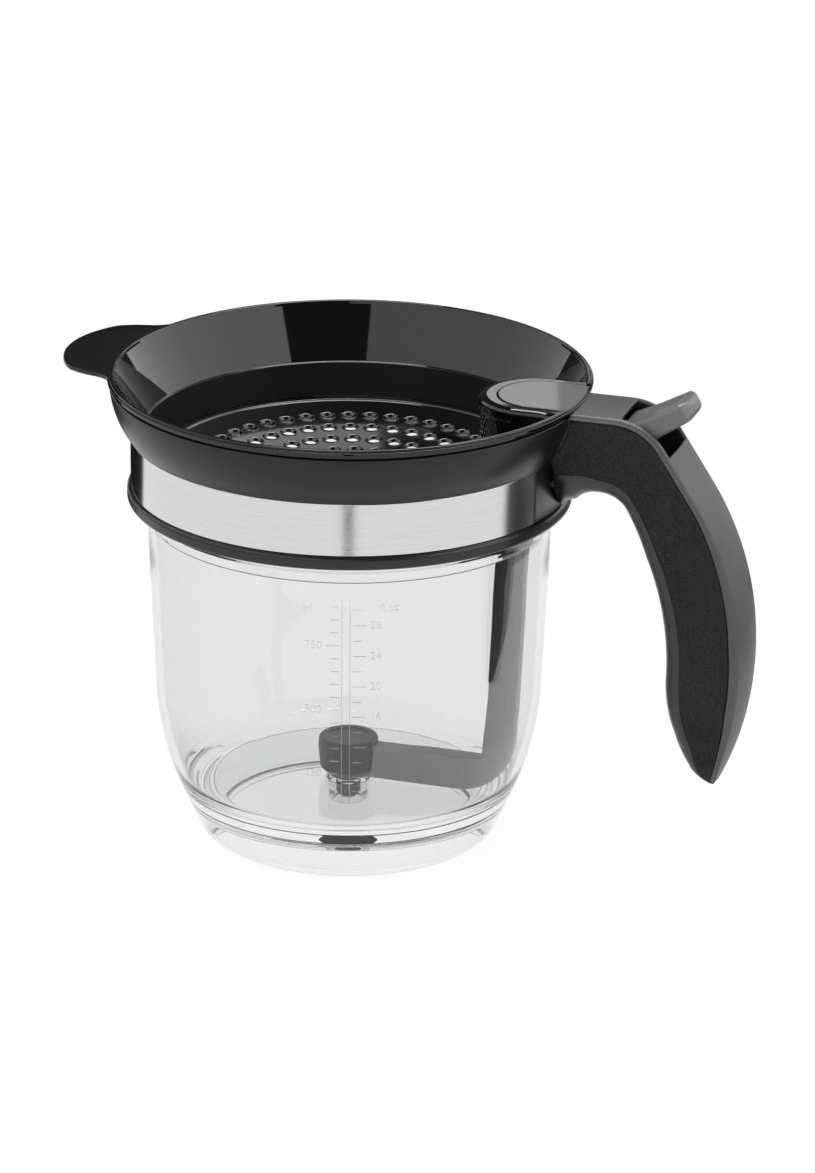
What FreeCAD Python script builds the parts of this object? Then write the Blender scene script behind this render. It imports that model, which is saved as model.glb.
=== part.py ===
import FreeCAD, Part
import math
import os
import Sketcher
from FreeCAD import Vector

# Gravy fat separator: a clear beaker with an outlet in its floor, a black head with a steel band and a
# handle, a strainer insert that lifts off, and a thumb lever that raises the stopper from the outlet.
# Millimetres, +Z up, origin on the beaker's axis at the surface it stands on, +X towards the handle.

drivingSizes = {
    # beaker
    "beakerRadius": 66.6, "beakerHeight": 124.5, "beakerWall": 2.6, "beakerTaper": 2.5,
    "shoulderDrop": 12.5, "shoulderStep": 0.6, "beadWidth": 1.6, "beadHeight": 2.5,
    "bendHeight": 52, "bodyRound": 100, "footAngle": 24, "footRound": 6.5,
    "footRingWidth": 3.2, "footRingRise": 5.6, "footRingLean": 4.2,
    "floorHeight": 17.8, "floorThickness": 3.2, "floorRound": 11,
    "outletRadius": 4, "nozzleWall": 2.5, "nozzleLength": 7.4, "seatDepth": 2.2,
    # head
    "snapPlay": 0.1, "slidePlay": 0.35, "spigotRise": 0.8,
    "ringHeight": 4.4, "ringOverhang": 1.2, "skirtPlay": 0.4, "skirtWall": 2,
    "bandThickness": 0.5, "bandWidth": 17.4, "bandOpening": 33, "bandEndPlay": 0.4,
    "gasketThickness": 1.5, "gasketWidth": 3.6, "shelfThickness": 1.6, "shelfReach": 1.2,
    "collarStep": 0.3, "collarFlare": 6.2, "collarRise": 16.7, "collarWall": 1.5,
    "windowHalfWidth": 6, "windowHeight": 12,
    # strainer insert
    "liftPlay": 0.1, "rimRise": 3.4, "rimOverhang": 0.9, "rimBead": 2.2, "rimThickness": 1.9, "funnelWall": 1.4,
    "funnelEdgeInset": 2.0, "funnelEdgeRise": 1.7, "funnelLedge": 0.6, "skirtClearance": 0.4,
    "plateFit": 0.1, "plateSeatWidth": 1.4, "plateSeatHeight": 1.2, "plateThickness": 1.2,
    "plateSlope": 5.5, "plateRimWidth": 1.3, "plateRimRise": 0.5,
    "holeRadius": 1.9, "holeRim": 0.75, "holeRimRise": 0.45, "holeSpacing": 7.25, "holeRowPitch": 9.15,
    "outerRowInset": 14.4,
    "wellInset": 3.2, "wellRadius": 17.3, "wellWall": 1.6, "wellFloorDrop": 1.9,
    "capThickness": 1.5, "capFit": 0.1, "capLedge": 1.1,
    "tabReach": 97.4, "tabThickness": 1.5, "tabHalfWidth": 28.7, "tabEndRadius": 36, "tabEndRise": 8,
    "tabCornerRadius": 19,
    # handle
    "handleRise": 2, "handleHalfWidth": 12.5, "coverDepth": 2.6, "coverGap": 0.15,
    "neckReach": 20, "neckRadius": 21, "neckAngle": 56.2, "neckRun": 19.8,
    "gripRadius": 99.4, "gripSweep": 60.8, "tipWidth": 2.4,
    "archRadius": 10.8, "palmRadius": 92.4, "flickRadius": 45,
    "archRootX": 6.7, "archRootDrop": 31.6, "archEndX": 23.9, "archEndDrop": 31.8,
    "palmX": 39.1, "palmDrop": 86.9, "flickX": 50.1, "flickDrop": 119.8,
    "handleWall": 2.7, "cavityDepth": 90, "taperStart": 82, "taperEndHalf": 6.5, "taperRadius": 130,
    # lever and lift
    "pivotInset": 20, "pivotDrop": 12, "pivotRadius": 1.5, "pivotPlay": 0.05, "pivotGrip": 1.4,
    "leverHubRadius": 4.6, "leverHalfWidth": 9.2, "leverSweep": 13, "noseHalfWidth": 4.6, "noseDepth": 2.7,
    "noseOverrun": 2.6, "slotStart": 2.2, "slotLength": 17, "slotSidePlay": 1.4,
    "padReach": 24.2, "padRise": 15.6, "padTipRadius": 2.4, "padUnderAngle": 37.5, "padTopAngle": 24.4,
    "padUnderLength": 15.5, "padTopLength": 18.5,
    "rodInset": 8, "rodRadius": 2, "forkPlay": 0.4, "crossPinRadius": 1.5,
    "guideThickness": 3.6, "guidePlay": 0.06, "guideDrop": 5.4, "guideHalfWidth": 8,
    "springTurns": 5, "springRadius": 3.3, "springWire": 0.8, "springPlay": 0.2,
    "armWidth": 11.2, "armThickness": 6, "armWallPlay": 0.9, "armTopDrop": 5.9,
    "armFloorPlay": 0.6, "armFootHeight": 11.6, "armCorner": 19, "rodTailDrop": 66.5, "rodFaceDrop": 27,
    "hubRadius": 10.1, "hubHeight": 13.4, "hubChamfer": 2.4, "hubFloorPlay": 0.8, "armSocket": 6.5,
    "plugPlay": 0.3, "plugTip": 1.8, "stemRadius": 1.5,
    "screwRadius": 1.5, "screwHeadRadius": 2.8, "screwHeadHeight": 2, "screwSpacing": 16, "screwLength": 13,
    "screwRise": 3.9,
}

os.makedirs("parts", exist_ok=True)
doc = FreeCAD.newDocument("FatSeparator")
sheet = doc.addObject("Spreadsheet::Sheet", "Sizes")
for row, (alias, number) in enumerate(drivingSizes.items(), start=1):
    sheet.set("A%d" % row, alias)
    sheet.set("B%d" % row, str(number))
    sheet.setAlias("B%d" % row, alias)
doc.recompute()


class Size:
    # a length or an angle together with the expression that gives it
    def __init__(self, value, text):
        self.value = value
        self.text = text

    def __add__(self, other):
        other = size(other)
        return Size(self.value + other.value, "(%s + %s)" % (self.text, other.text))

    def __sub__(self, other):
        other = size(other)
        return Size(self.value - other.value, "(%s - %s)" % (self.text, other.text))

    def __mul__(self, other):
        other = size(other)
        return Size(self.value * other.value, "(%s * %s)" % (self.text, other.text))

    def __truediv__(self, other):
        other = size(other)
        return Size(self.value / other.value, "(%s / %s)" % (self.text, other.text))

    def __neg__(self):
        return Size(-self.value, "(0 - %s)" % self.text)

    def __radd__(self, other):
        return size(other) + self

    def __rsub__(self, other):
        return size(other) - self

    def __rmul__(self, other):
        return size(other) * self


def size(thing):
    if isinstance(thing, Size):
        return thing
    if isinstance(thing, str):
        return Size(float(sheet.get(thing)), "Sizes." + thing)
    return Size(float(thing), repr(float(thing)))


def sine(angle):
    return Size(math.sin(math.radians(angle.value)), "sin(%s * 1 deg)" % angle.text)


def cosine(angle):
    return Size(math.cos(math.radians(angle.value)), "cos(%s * 1 deg)" % angle.text)


def tangent(angle):
    return sine(angle) / cosine(angle)


def root(square):
    return Size(math.sqrt(square.value), "sqrt(%s)" % square.text)


# ---- places that several pieces share ----
rimTopOfBeaker = size("beakerHeight")
shoulderZ = rimTopOfBeaker - "shoulderDrop"
taperSlope = tangent(size("beakerTaper"))
mouthRadius = size("beakerRadius") - "beakerWall"
shoulderRadius = size("beakerRadius") + "shoulderStep"
beadRadius = shoulderRadius + "beadWidth"
beadBottom = rimTopOfBeaker - "beadHeight"

ringTop = beadBottom - "snapPlay" - "spigotRise"
ringBottom = ringTop - "ringHeight"
skirtInner = beadRadius + "skirtPlay"
skirtOuter = skirtInner + "skirtWall"
bandOuter = skirtOuter + "bandThickness"
ringOuter = bandOuter + "ringOverhang"
bandBottom = ringTop + "snapPlay"
bandTop = bandBottom + "bandWidth"
shelfBottom = rimTopOfBeaker + "gasketThickness"
shelfTop = shelfBottom + "shelfThickness"
shelfRadius = mouthRadius + "shelfReach"
ledgeZ = bandTop + "snapPlay"
collarBase = bandOuter + "collarStep"
collarTopRadius = collarBase + "collarFlare"
collarTop = ledgeZ + "collarRise"

rimRadius = collarTopRadius + "rimOverhang"
rimTop = collarTop + "rimRise"
rimUnder = rimTop - "rimThickness"
funnelSkirt = shelfRadius - "skirtClearance"
plateBore = funnelSkirt - 1.1
plateRadius = plateBore - "plateFit"
funnelBottom = rimTopOfBeaker + 0.5
plateSeat = funnelBottom + "plateSeatHeight"
plateEdgeTop = plateSeat + "plateThickness" + 0.8
funnelEdgeRadius = skirtInner - "funnelEdgeInset"
funnelEdgeZ = ledgeZ + "funnelEdgeRise"
wellX = shelfRadius - "wellInset"
capSeat = rimTop - "capThickness" - 0.5

handleTop = collarTop + "handleRise"
pivotX = collarBase + "pivotInset"
pivotZ = handleTop - "pivotDrop"
halfSweep = size("leverSweep") / 2
rodX = mouthRadius - "rodInset"
noseTopAtRod = pivotZ - (pivotX - rodX) * tangent(halfSweep)
liftTravel = 2 * (pivotX - rodX) * tangent(halfSweep)
crossPinZ = noseTopAtRod + "crossPinRadius" + "snapPlay"
armTop = rimTopOfBeaker - "armTopDrop"
guideTop = noseTopAtRod - "noseDepth" - 0.6
guideBottom = guideTop - "guideThickness"

parts = []


def makeBody(label):
    body = doc.addObject("PartDesign::Body", label)
    body.Label = label
    body.Placement = FreeCAD.Placement(Vector(0, 0, 0), FreeCAD.Rotation())
    parts.append(body)
    return body


def originPlane(body, role):
    return [feature for feature in body.Origin.OriginFeatures if feature.Role == role][0]


def newSketch(body, role, name, lift=None):
    # a sketch on one of the body's own planes, moved along the plane's normal by lift
    sketch = body.newObject("Sketcher::SketchObject", name)
    sketch.AttachmentSupport = [(originPlane(body, role), "")]
    sketch.MapMode = "FlatFace"
    if lift is not None:
        sketch.setExpression("AttachmentOffset.Base.z", lift.text)
        sketch.AttachmentOffset = FreeCAD.Placement(Vector(0, 0, lift.value), FreeCAD.Rotation())
    return sketch


class Outline:
    # a closed outline of lines and arcs whose corners are tied to the sheet
    def __init__(self, sketch, x, y):
        self.sketch = sketch
        self.first = (size(x), size(y))
        self.here = self.first
        self.ends = []

    def tie(self, constraint, amount=None):
        index = self.sketch.addConstraint(constraint)
        if amount is not None:
            self.sketch.setExpression("Constraints[%d]" % index, amount.text)

    def place(self, geometry, point, corner):
        x, y = corner
        if abs(x.value) < 1e-9:
            self.tie(Sketcher.Constraint("PointOnObject", geometry, point, -2))
        else:
            self.tie(Sketcher.Constraint("DistanceX", -1, 1, geometry, point, x.value), x)
        if abs(y.value) < 1e-9:
            self.tie(Sketcher.Constraint("PointOnObject", geometry, point, -1))
        else:
            self.tie(Sketcher.Constraint("DistanceY", -1, 1, geometry, point, y.value), y)

    def join(self, geometry, startPoint, endPoint):
        if self.ends:
            before, beforeEnd = self.ends[-1][0], self.ends[-1][2]
            self.tie(Sketcher.Constraint("Coincident", before, beforeEnd, geometry, startPoint))
        self.place(geometry, startPoint, self.here)
        self.ends.append((geometry, startPoint, endPoint))

    def line(self, x, y):
        corner = (size(x), size(y))
        a, b = [Vector(p[0].value, p[1].value, 0) for p in (self.here, corner)]
        geometry = self.sketch.addGeometry(Part.LineSegment(a, b), False)
        self.join(geometry, 1, 2)
        self.here = corner
        return self

    def arc(self, x, y, radius, turn):
        # turn is 1 where the arc bends to the left on its way, -1 where it bends to the right
        corner, radius = (size(x), size(y)), size(radius)
        a, b = [Vector(p[0].value, p[1].value, 0) for p in (self.here, corner)]
        chord = b - a
        rise = math.sqrt(max(radius.value ** 2 - (chord.Length / 2) ** 2, 0))
        across = Vector(-chord.y, chord.x, 0).normalize() * turn
        centre = a + chord * 0.5 + across * rise
        if turn > 0:
            low, high, startPoint, endPoint = a - centre, b - centre, 1, 2
        else:
            low, high, startPoint, endPoint = b - centre, a - centre, 2, 1
        lowAngle, highAngle = math.atan2(low.y, low.x), math.atan2(high.y, high.x)
        if highAngle < lowAngle:
            highAngle += 2 * math.pi
        circle = Part.Circle(centre, Vector(0, 0, 1), radius.value)
        geometry = self.sketch.addGeometry(Part.ArcOfCircle(circle, lowAngle, highAngle), False)
        self.join(geometry, startPoint, endPoint)
        self.tie(Sketcher.Constraint("Radius", geometry, radius.value), radius)
        self.here = corner
        return self

    def close(self):
        gap = math.hypot(self.here[0].value - self.first[0].value, self.here[1].value - self.first[1].value)
        if gap > 1e-7:
            self.line(*self.first)
        last, firstEnd = self.ends[-1], self.ends[0]
        self.tie(Sketcher.Constraint("Coincident", last[0], last[2], firstEnd[0], firstEnd[1]))


def circle(sketch, x, y, radius):
    x, y, radius = size(x), size(y), size(radius)
    geometry = sketch.addGeometry(Part.Circle(Vector(x.value, y.value, 0), Vector(0, 0, 1), radius.value), False)
    tied = Outline(sketch, x, y)
    tied.place(geometry, 3, (x, y))
    tied.tie(Sketcher.Constraint("Radius", geometry, radius.value), radius)


def addFeature(body, kind, name, sketch, length=None, symmetric=False, reversed=False):
    feature = body.newObject("PartDesign::" + kind, name)
    feature.Profile = sketch
    if length is not None:
        feature.setExpression("Length", size(length).text)
    if symmetric:
        feature.SideType = "Symmetric"
    feature.Reversed = reversed
    sketch.Visibility = False
    doc.recompute()
    return feature


def cutFeature(body, kind, name, sketch, length=None, symmetric=False, reversed=False):
    before = body.Shape.Volume
    feature = addFeature(body, kind, name, sketch, length, symmetric, reversed)
    if body.Shape.Volume > before - 1e-3:
        raise ValueError("%s removed nothing from %s" % (name, body.Label))
    return feature


def turnProfile(body, name, sketch, kind="Revolution", angle=None):
    feature = body.newObject("PartDesign::" + kind, name)
    feature.Profile = sketch
    feature.ReferenceAxis = (sketch, ["V_Axis"])
    if angle is None:
        feature.Angle = 360
    else:
        feature.setExpression("Angle", angle.text)
        feature.Midplane = True
    sketch.Visibility = False
    doc.recompute()
    return feature


def edgesWhere(body, test):
    return ["Edge%d" % number for number, edge in enumerate(body.Shape.Edges, start=1) if test(edge)]


def smooth(body, kind, name, amount, test):
    # a fillet or chamfer on the edges that pass the test
    chosen = edgesWhere(body, test)
    if not chosen:
        raise ValueError("no edge for %s on %s" % (name, body.Label))
    feature = body.newObject("PartDesign::" + kind, name)
    feature.Base = (body.Tip if body.Tip != feature else feature.BaseFeature, chosen)
    feature.setExpression("Radius" if kind == "Fillet" else "Size", size(amount).text)
    doc.recompute()
    return feature


def wallOutside(height):
    return size("beakerRadius") - (shoulderZ - height) * taperSlope


# ---- vessel ----
def makeBeaker():
    body = makeBody("beaker")
    sketch = newSketch(body, "XZ_Plane", "BeakerProfile")
    taper, lean = size("beakerTaper"), size("footAngle")
    bend = size("bendHeight")
    # the body's long round is tangent to the tapered wall above and to the foot's cone below
    roundX = wallOutside(bend) - size("bodyRound") * cosine(taper)
    roundZ = bend + size("bodyRound") * sine(taper)
    coneX = roundX + size("bodyRound") * cosine(lean)
    coneZ = roundZ - size("bodyRound") * sine(lean)
    footZ = size("footRound") - size("footRound") * sine(lean)
    footX = coneX - (coneZ - footZ) * tangent(lean)
    footFlat = footX - size("footRound") * cosine(lean)
    # inside, a smaller round joins the wall to the floor
    innerRound = size("bodyRound") - "beakerWall"
    floorCentreZ = size("floorHeight") + "floorRound"
    reach = innerRound - "floorRound"
    floorFlat = roundX + root(reach * reach - (roundZ - floorCentreZ) * (roundZ - floorCentreZ))
    touchX = roundX + (floorFlat - roundX) * innerRound / reach
    touchZ = roundZ - (roundZ - floorCentreZ) * innerRound / reach
    wallTopX = roundX + innerRound * cosine(taper)
    wallTopZ = roundZ - innerRound * sine(taper)
    underside = size("floorHeight") - "floorThickness"
    nozzleBottom = underside - "nozzleLength"
    ringInner = footFlat - "footRingWidth"
    stepX = ringInner + "footRingLean"
    skirtX = stepX + (underside - 3 - "footRingRise") * tangent(lean)
    mouth = size("outletRadius")
    outline = Outline(sketch, mouth, nozzleBottom)
    outline.line(mouth + "nozzleWall", nozzleBottom).line(mouth + "nozzleWall" + 0.4, underside)
    outline.line(skirtX - 3, underside).arc(skirtX, underside - 3, 3, -1)
    outline.line(stepX, "footRingRise").line(ringInner, 0).line(footFlat, 0)
    outline.arc(footX, footZ, "footRound", 1).line(coneX, coneZ)
    outline.arc(wallOutside(bend), bend, "bodyRound", 1).line("beakerRadius", shoulderZ)
    outline.line(shoulderRadius, shoulderZ).line(shoulderRadius, beadBottom)
    outline.line(beadRadius, beadBottom).line(beadRadius, rimTopOfBeaker)
    outline.line(mouthRadius, rimTopOfBeaker).line(mouthRadius, shoulderZ)
    outline.line(wallTopX, wallTopZ).arc(touchX, touchZ, innerRound, -1)
    outline.arc(floorFlat, "floorHeight", "floorRound", -1)
    outline.line(mouth + "seatDepth", "floorHeight").line(mouth, size("floorHeight") - "seatDepth")
    outline.close()
    turnProfile(body, "BeakerTurn", sketch)


def makeGasket():
    body = makeBody("rim_gasket")
    sketch = newSketch(body, "XZ_Plane", "GasketProfile")
    inner = beadRadius - "gasketWidth"
    outline = Outline(sketch, inner, rimTopOfBeaker).line(beadRadius, rimTopOfBeaker)
    outline.line(beadRadius, shelfBottom).line(inner, shelfBottom).close()
    turnProfile(body, "GasketTurn", sketch)


def makeLockRing():
    body = makeBody("lock_ring")
    sketch = newSketch(body, "XZ_Plane", "LockRingProfile")
    bore = shoulderRadius + "slidePlay"
    spigot = skirtInner - "snapPlay"
    spigotTop = ringTop + "spigotRise"
    outline = Outline(sketch, bore, ringBottom).line(ringOuter, ringBottom).line(ringOuter, ringTop)
    outline.line(spigot, ringTop).line(spigot, spigotTop).line(bore, spigotTop).close()
    turnProfile(body, "LockRingTurn", sketch)
    smooth(body, "Fillet", "LockRingRound", 0.7,
           lambda edge: abs(edge.BoundBox.XMax - ringOuter.value) < 1e-3)


# ---- head ----
def makeCollar():
    body = makeBody("collar")
    sketch = newSketch(body, "XZ_Plane", "CollarProfile")
    outline = Outline(sketch, skirtInner, ringTop).line(skirtOuter, ringTop).line(skirtOuter, ledgeZ)
    outline.line(collarBase, ledgeZ).line(collarTopRadius, collarTop)
    outline.line(collarTopRadius - "collarWall", collarTop).line(collarBase - "collarWall", ledgeZ + 0.6)
    outline.line(skirtInner, ledgeZ - 0.8).line(skirtInner, shelfTop).line(shelfRadius, shelfTop)
    outline.line(shelfRadius, shelfBottom).line(skirtInner, shelfBottom).close()
    turnProfile(body, "CollarTurn", sketch)
    # the raised block that fills the band's opening at the handle
    block = newSketch(body, "XZ_Plane", "BlockProfile")
    outline = Outline(block, skirtOuter - 0.5, ringTop).line(collarBase, ringTop).line(collarBase, ledgeZ)
    outline.line(skirtOuter - 0.5, ledgeZ).close()
    turnProfile(body, "BandBlock", block, angle=size("bandOpening") - "bandEndPlay")
    # window for the lever's nose
    window = newSketch(body, "YZ_Plane", "WindowOutline")
    half, low = size("windowHalfWidth"), guideTop + 0.4
    outline = Outline(window, -half, low).line(half, low).line(half, low + "windowHeight")
    outline.line(-half, low + "windowHeight").close()
    cutFeature(body, "Pocket", "Window", window, rimRadius + 5, reversed=True)
    holes = newSketch(body, "YZ_Plane", "ScrewHoles")
    for side in (-1, 1):
        circle(holes, size("screwSpacing") / 2 * side, shelfTop + "screwRise", "screwRadius")
    cutFeature(body, "Pocket", "ScrewHolePocket", holes, rimRadius + 5, reversed=True)


def makeSteelBand():
    body = makeBody("steel_band")
    sketch = newSketch(body, "XZ_Plane", "BandProfile")
    outline = Outline(sketch, skirtOuter, bandBottom).line(bandOuter, bandBottom)
    outline.line(bandOuter, bandTop).line(skirtOuter, bandTop).close()
    turnProfile(body, "BandTurn", sketch, angle=360 - size("bandOpening"))
    body.Placement = FreeCAD.Placement(Vector(0, 0, 0), FreeCAD.Rotation(Vector(0, 0, 1), 180))


def spineCurve(outline, inset, tipHalf):
    # neck and back of the handle, drawn from the tip up to the collar at a depth below the outer curve
    neck, sweep = size("neckAngle"), size("gripSweep")
    neckX, neckZ = pivotX, handleTop - "neckRadius"
    neckR, gripR = size("neckRadius") - inset, size("gripRadius") - inset
    runX = neckX + size("neckRadius") * sine(neck) + size("neckRun") * cosine(neck)
    runZ = neckZ + size("neckRadius") * cosine(neck) - size("neckRun") * sine(neck)
    gripX = runX - size("gripRadius") * sine(neck)
    gripZ = runZ - size("gripRadius") * cosine(neck)
    end = neck + sweep - tipHalf
    outline.here = outline.first
    tip = (gripX + gripR * sine(end), gripZ + gripR * cosine(end))
    top = (runX - inset * sine(neck), runZ - inset * cosine(neck))
    bend = (neckX + neckR * sine(neck), neckZ + neckR * cosine(neck))
    flat = (neckX, neckZ + neckR)
    return tip, top, bend, flat, gripR, neckR


def rootCutter(body, radialPlay):
    # the collar's outer surface, cut away so that the root sits against it
    sketch = newSketch(body, "XZ_Plane", body.Label + "RootProfile")
    low = ringTop + "snapPlay"
    outline = Outline(sketch, 40, low).line(collarBase + radialPlay, low)
    outline.line(collarBase + radialPlay, ledgeZ).line(collarTopRadius + radialPlay, collarTop)
    outline.line(collarTopRadius + radialPlay, handleTop + 5).line(40, handleTop + 5).close()
    groove = turnProfile(body, body.Label + "Root", sketch, kind="Groove")
    return groove


def sideTaper(body):
    # the handle narrows towards its lower end, seen from behind
    start, endHalf = handleTop - "taperStart", size("taperEndHalf")
    half, low = size("handleHalfWidth"), handleTop - 140
    for side in (-1, 1):
        sketch = newSketch(body, "YZ_Plane", "%sTaper%d" % (body.Label, side + 1))
        outline = Outline(sketch, half * side, start)
        outline.arc(endHalf * side, handleTop - 129, "taperRadius", -side).line(endHalf * side, low)
        outline.line((half + 6) * side, low).line((half + 6) * side, start).close()
        cutFeature(body, "Pocket", "%sTaperCut%d" % (body.Label, side + 1), sketch, rimRadius * 3, reversed=True)


def makeHandleShell():
    body = makeBody("handle_shell")
    sketch = newSketch(body, "XZ_Plane", "ShellProfile")
    rootX = skirtOuter - 6
    archRoot = (collarBase + "archRootX", handleTop - "archRootDrop")
    archEnd = (collarBase + "archEndX", handleTop - "archEndDrop")
    palm = (collarBase + "palmX", handleTop - "palmDrop")
    flick = (collarBase + "flickX", handleTop - "flickDrop")
    rootLow = ringTop + "snapPlay"
    outline = Outline(sketch, rootX, rootLow)
    tip, top, bend, flat, gripR, neckR = spineCurve(outline, size("coverDepth"), size(1.5))
    outline.line(collarBase + 3, rootLow).line(*archRoot).arc(*archEnd, "archRadius", -1)
    outline.arc(*palm, "palmRadius", -1).arc(*flick, "flickRadius", 1)
    outline.line(tip[0] - "tipWidth", tip[1]).line(*tip).arc(*top, gripR, 1).line(*bend)
    outline.arc(*flat, neckR, 1).line(rootX, handleTop - "coverDepth").close()
    addFeature(body, "Pad", "ShellPad", sketch, size("handleHalfWidth") * 2, symmetric=True)
    halfWidth = size("handleHalfWidth").value
    limit = archRoot[0].value + 1

    def palmEdge(edge):
        box = edge.BoundBox
        onSide = abs(abs(box.YMin) - halfWidth) < 1e-4 and box.YLength < 1e-4
        below = box.ZMax < (handleTop - "coverDepth").value - 8 and box.XMin > limit - 3
        curved = edge.Curve.TypeId == "Part::GeomCircle" and abs(edge.Curve.Radius - gripR.value) > 1
        return onSide and below and curved and abs(edge.Curve.Radius - neckR.value) > 1

    smooth(body, "Fillet", "PalmRound", 4.5, palmEdge)
    rootCutter(body, 0.02)
    # the hollow that holds the lever and its pin, open under the cover
    cavity = newSketch(body, "XZ_Plane", "ShellCavity")
    wall = size("handleWall")
    inner = size("coverDepth") - 0.5
    outline = Outline(cavity, collarBase + 9.4, archRoot[1] + 9.4)
    neck, sweep = size("neckAngle"), size("gripSweep")
    tip, top, bend, flat, gripR, neckR = spineCurve(outline, inner, size("cavityDepth") / 90 * 38)
    outline.line(archEnd[0] + 1.5, archRoot[1] + 9.4).line(palm[0] - 3, archRoot[1] - 12)
    outline.line(palm[0] + wall + 1.5, tip[1]).line(*tip).arc(*top, gripR, 1).line(*bend)
    outline.arc(*flat, neckR, 1).line(collarBase + 9.4, handleTop - inner).close()
    cutFeature(body, "Pocket", "Hollow", cavity, (size("handleHalfWidth") - wall) * 2, symmetric=True)
    window = newSketch(body, "YZ_Plane", "ShellWindow")
    half, low = size("windowHalfWidth"), guideTop + 0.4
    outline = Outline(window, -half, low).line(half, low).line(half, low + "windowHeight")
    outline.line(-half, low + "windowHeight").close()
    cutFeature(body, "Pocket", "NosePassage", window, collarBase + 12, reversed=True)
    bores = newSketch(body, "XZ_Plane", "PivotBores")
    circle(bores, pivotX, pivotZ, "pivotRadius")
    boreLength = (size("handleHalfWidth") - wall + "pivotGrip") * 2
    cutFeature(body, "Pocket", "PivotBorePocket", bores, boreLength, symmetric=True)
    holes = newSketch(body, "YZ_Plane", "ShellScrewHoles")
    for side in (-1, 1):
        circle(holes, size("screwSpacing") / 2 * side, shelfTop + "screwRise", size("screwRadius"))
    cutFeature(body, "Pocket", "ShellScrewPocket", holes, skirtInner + "screwLength" - 2, reversed=True)
    sideTaper(body)


def makeSpineCover():
    body = makeBody("spine_cover")
    sketch = newSketch(body, "XZ_Plane", "CoverProfile")
    rootX = skirtOuter
    outline = Outline(sketch, rootX, handleTop)
    outer = spineCurve(outline, size(0), size(0))
    inner = spineCurve(outline, size("coverDepth") - "coverGap", size(1.2))
    outline.line(*outer[3]).arc(*outer[2], outer[5], -1).line(*outer[1]).arc(*outer[0], outer[4], -1)
    outline.line(*inner[0]).arc(*inner[1], inner[4], 1).line(*inner[2]).arc(*inner[3], inner[5], 1)
    outline.line(rootX, inner[3][1]).close()
    addFeature(body, "Pad", "CoverPad", sketch, size("handleHalfWidth") * 2, symmetric=True)
    rootCutter(body, 0.95)
    slot = newSketch(body, "XY_Plane", "LeverSlot")
    start, half = pivotX + "slotStart", size("leverHalfWidth") + "slotSidePlay"
    outline = Outline(slot, start, -half).line(start + "slotLength", -half)
    outline.line(start + "slotLength", half).line(start, half).close()
    cutFeature(body, "Pocket", "SlotPocket", slot, handleTop + 10, reversed=True)
    sideTaper(body)


# ---- strainer insert ----
def wellOutline(sketch, radius, endX):
    # a U that is round towards the beaker's axis and open towards the handle
    outline = Outline(sketch, endX, -radius).line(wellX, -radius)
    outline.arc(wellX - radius, 0, radius, -1).arc(wellX, radius, radius, -1)
    outline.line(endX, radius).close()


def funnelOutside(outline):
    # the funnel's outer surface from its bottom edge to the rim
    wall = size("funnelWall")
    outline.line(funnelSkirt, funnelBottom).line(funnelSkirt, shelfTop + 0.6)
    outline.line(funnelEdgeRadius + wall, funnelEdgeZ - 0.3).line(seatRadius - 0.1, collarTop - 1.2)
    outline.line(seatRadius, collarTop - 1.0)


seatRadius = collarTopRadius - "collarWall" - 0.5


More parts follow.
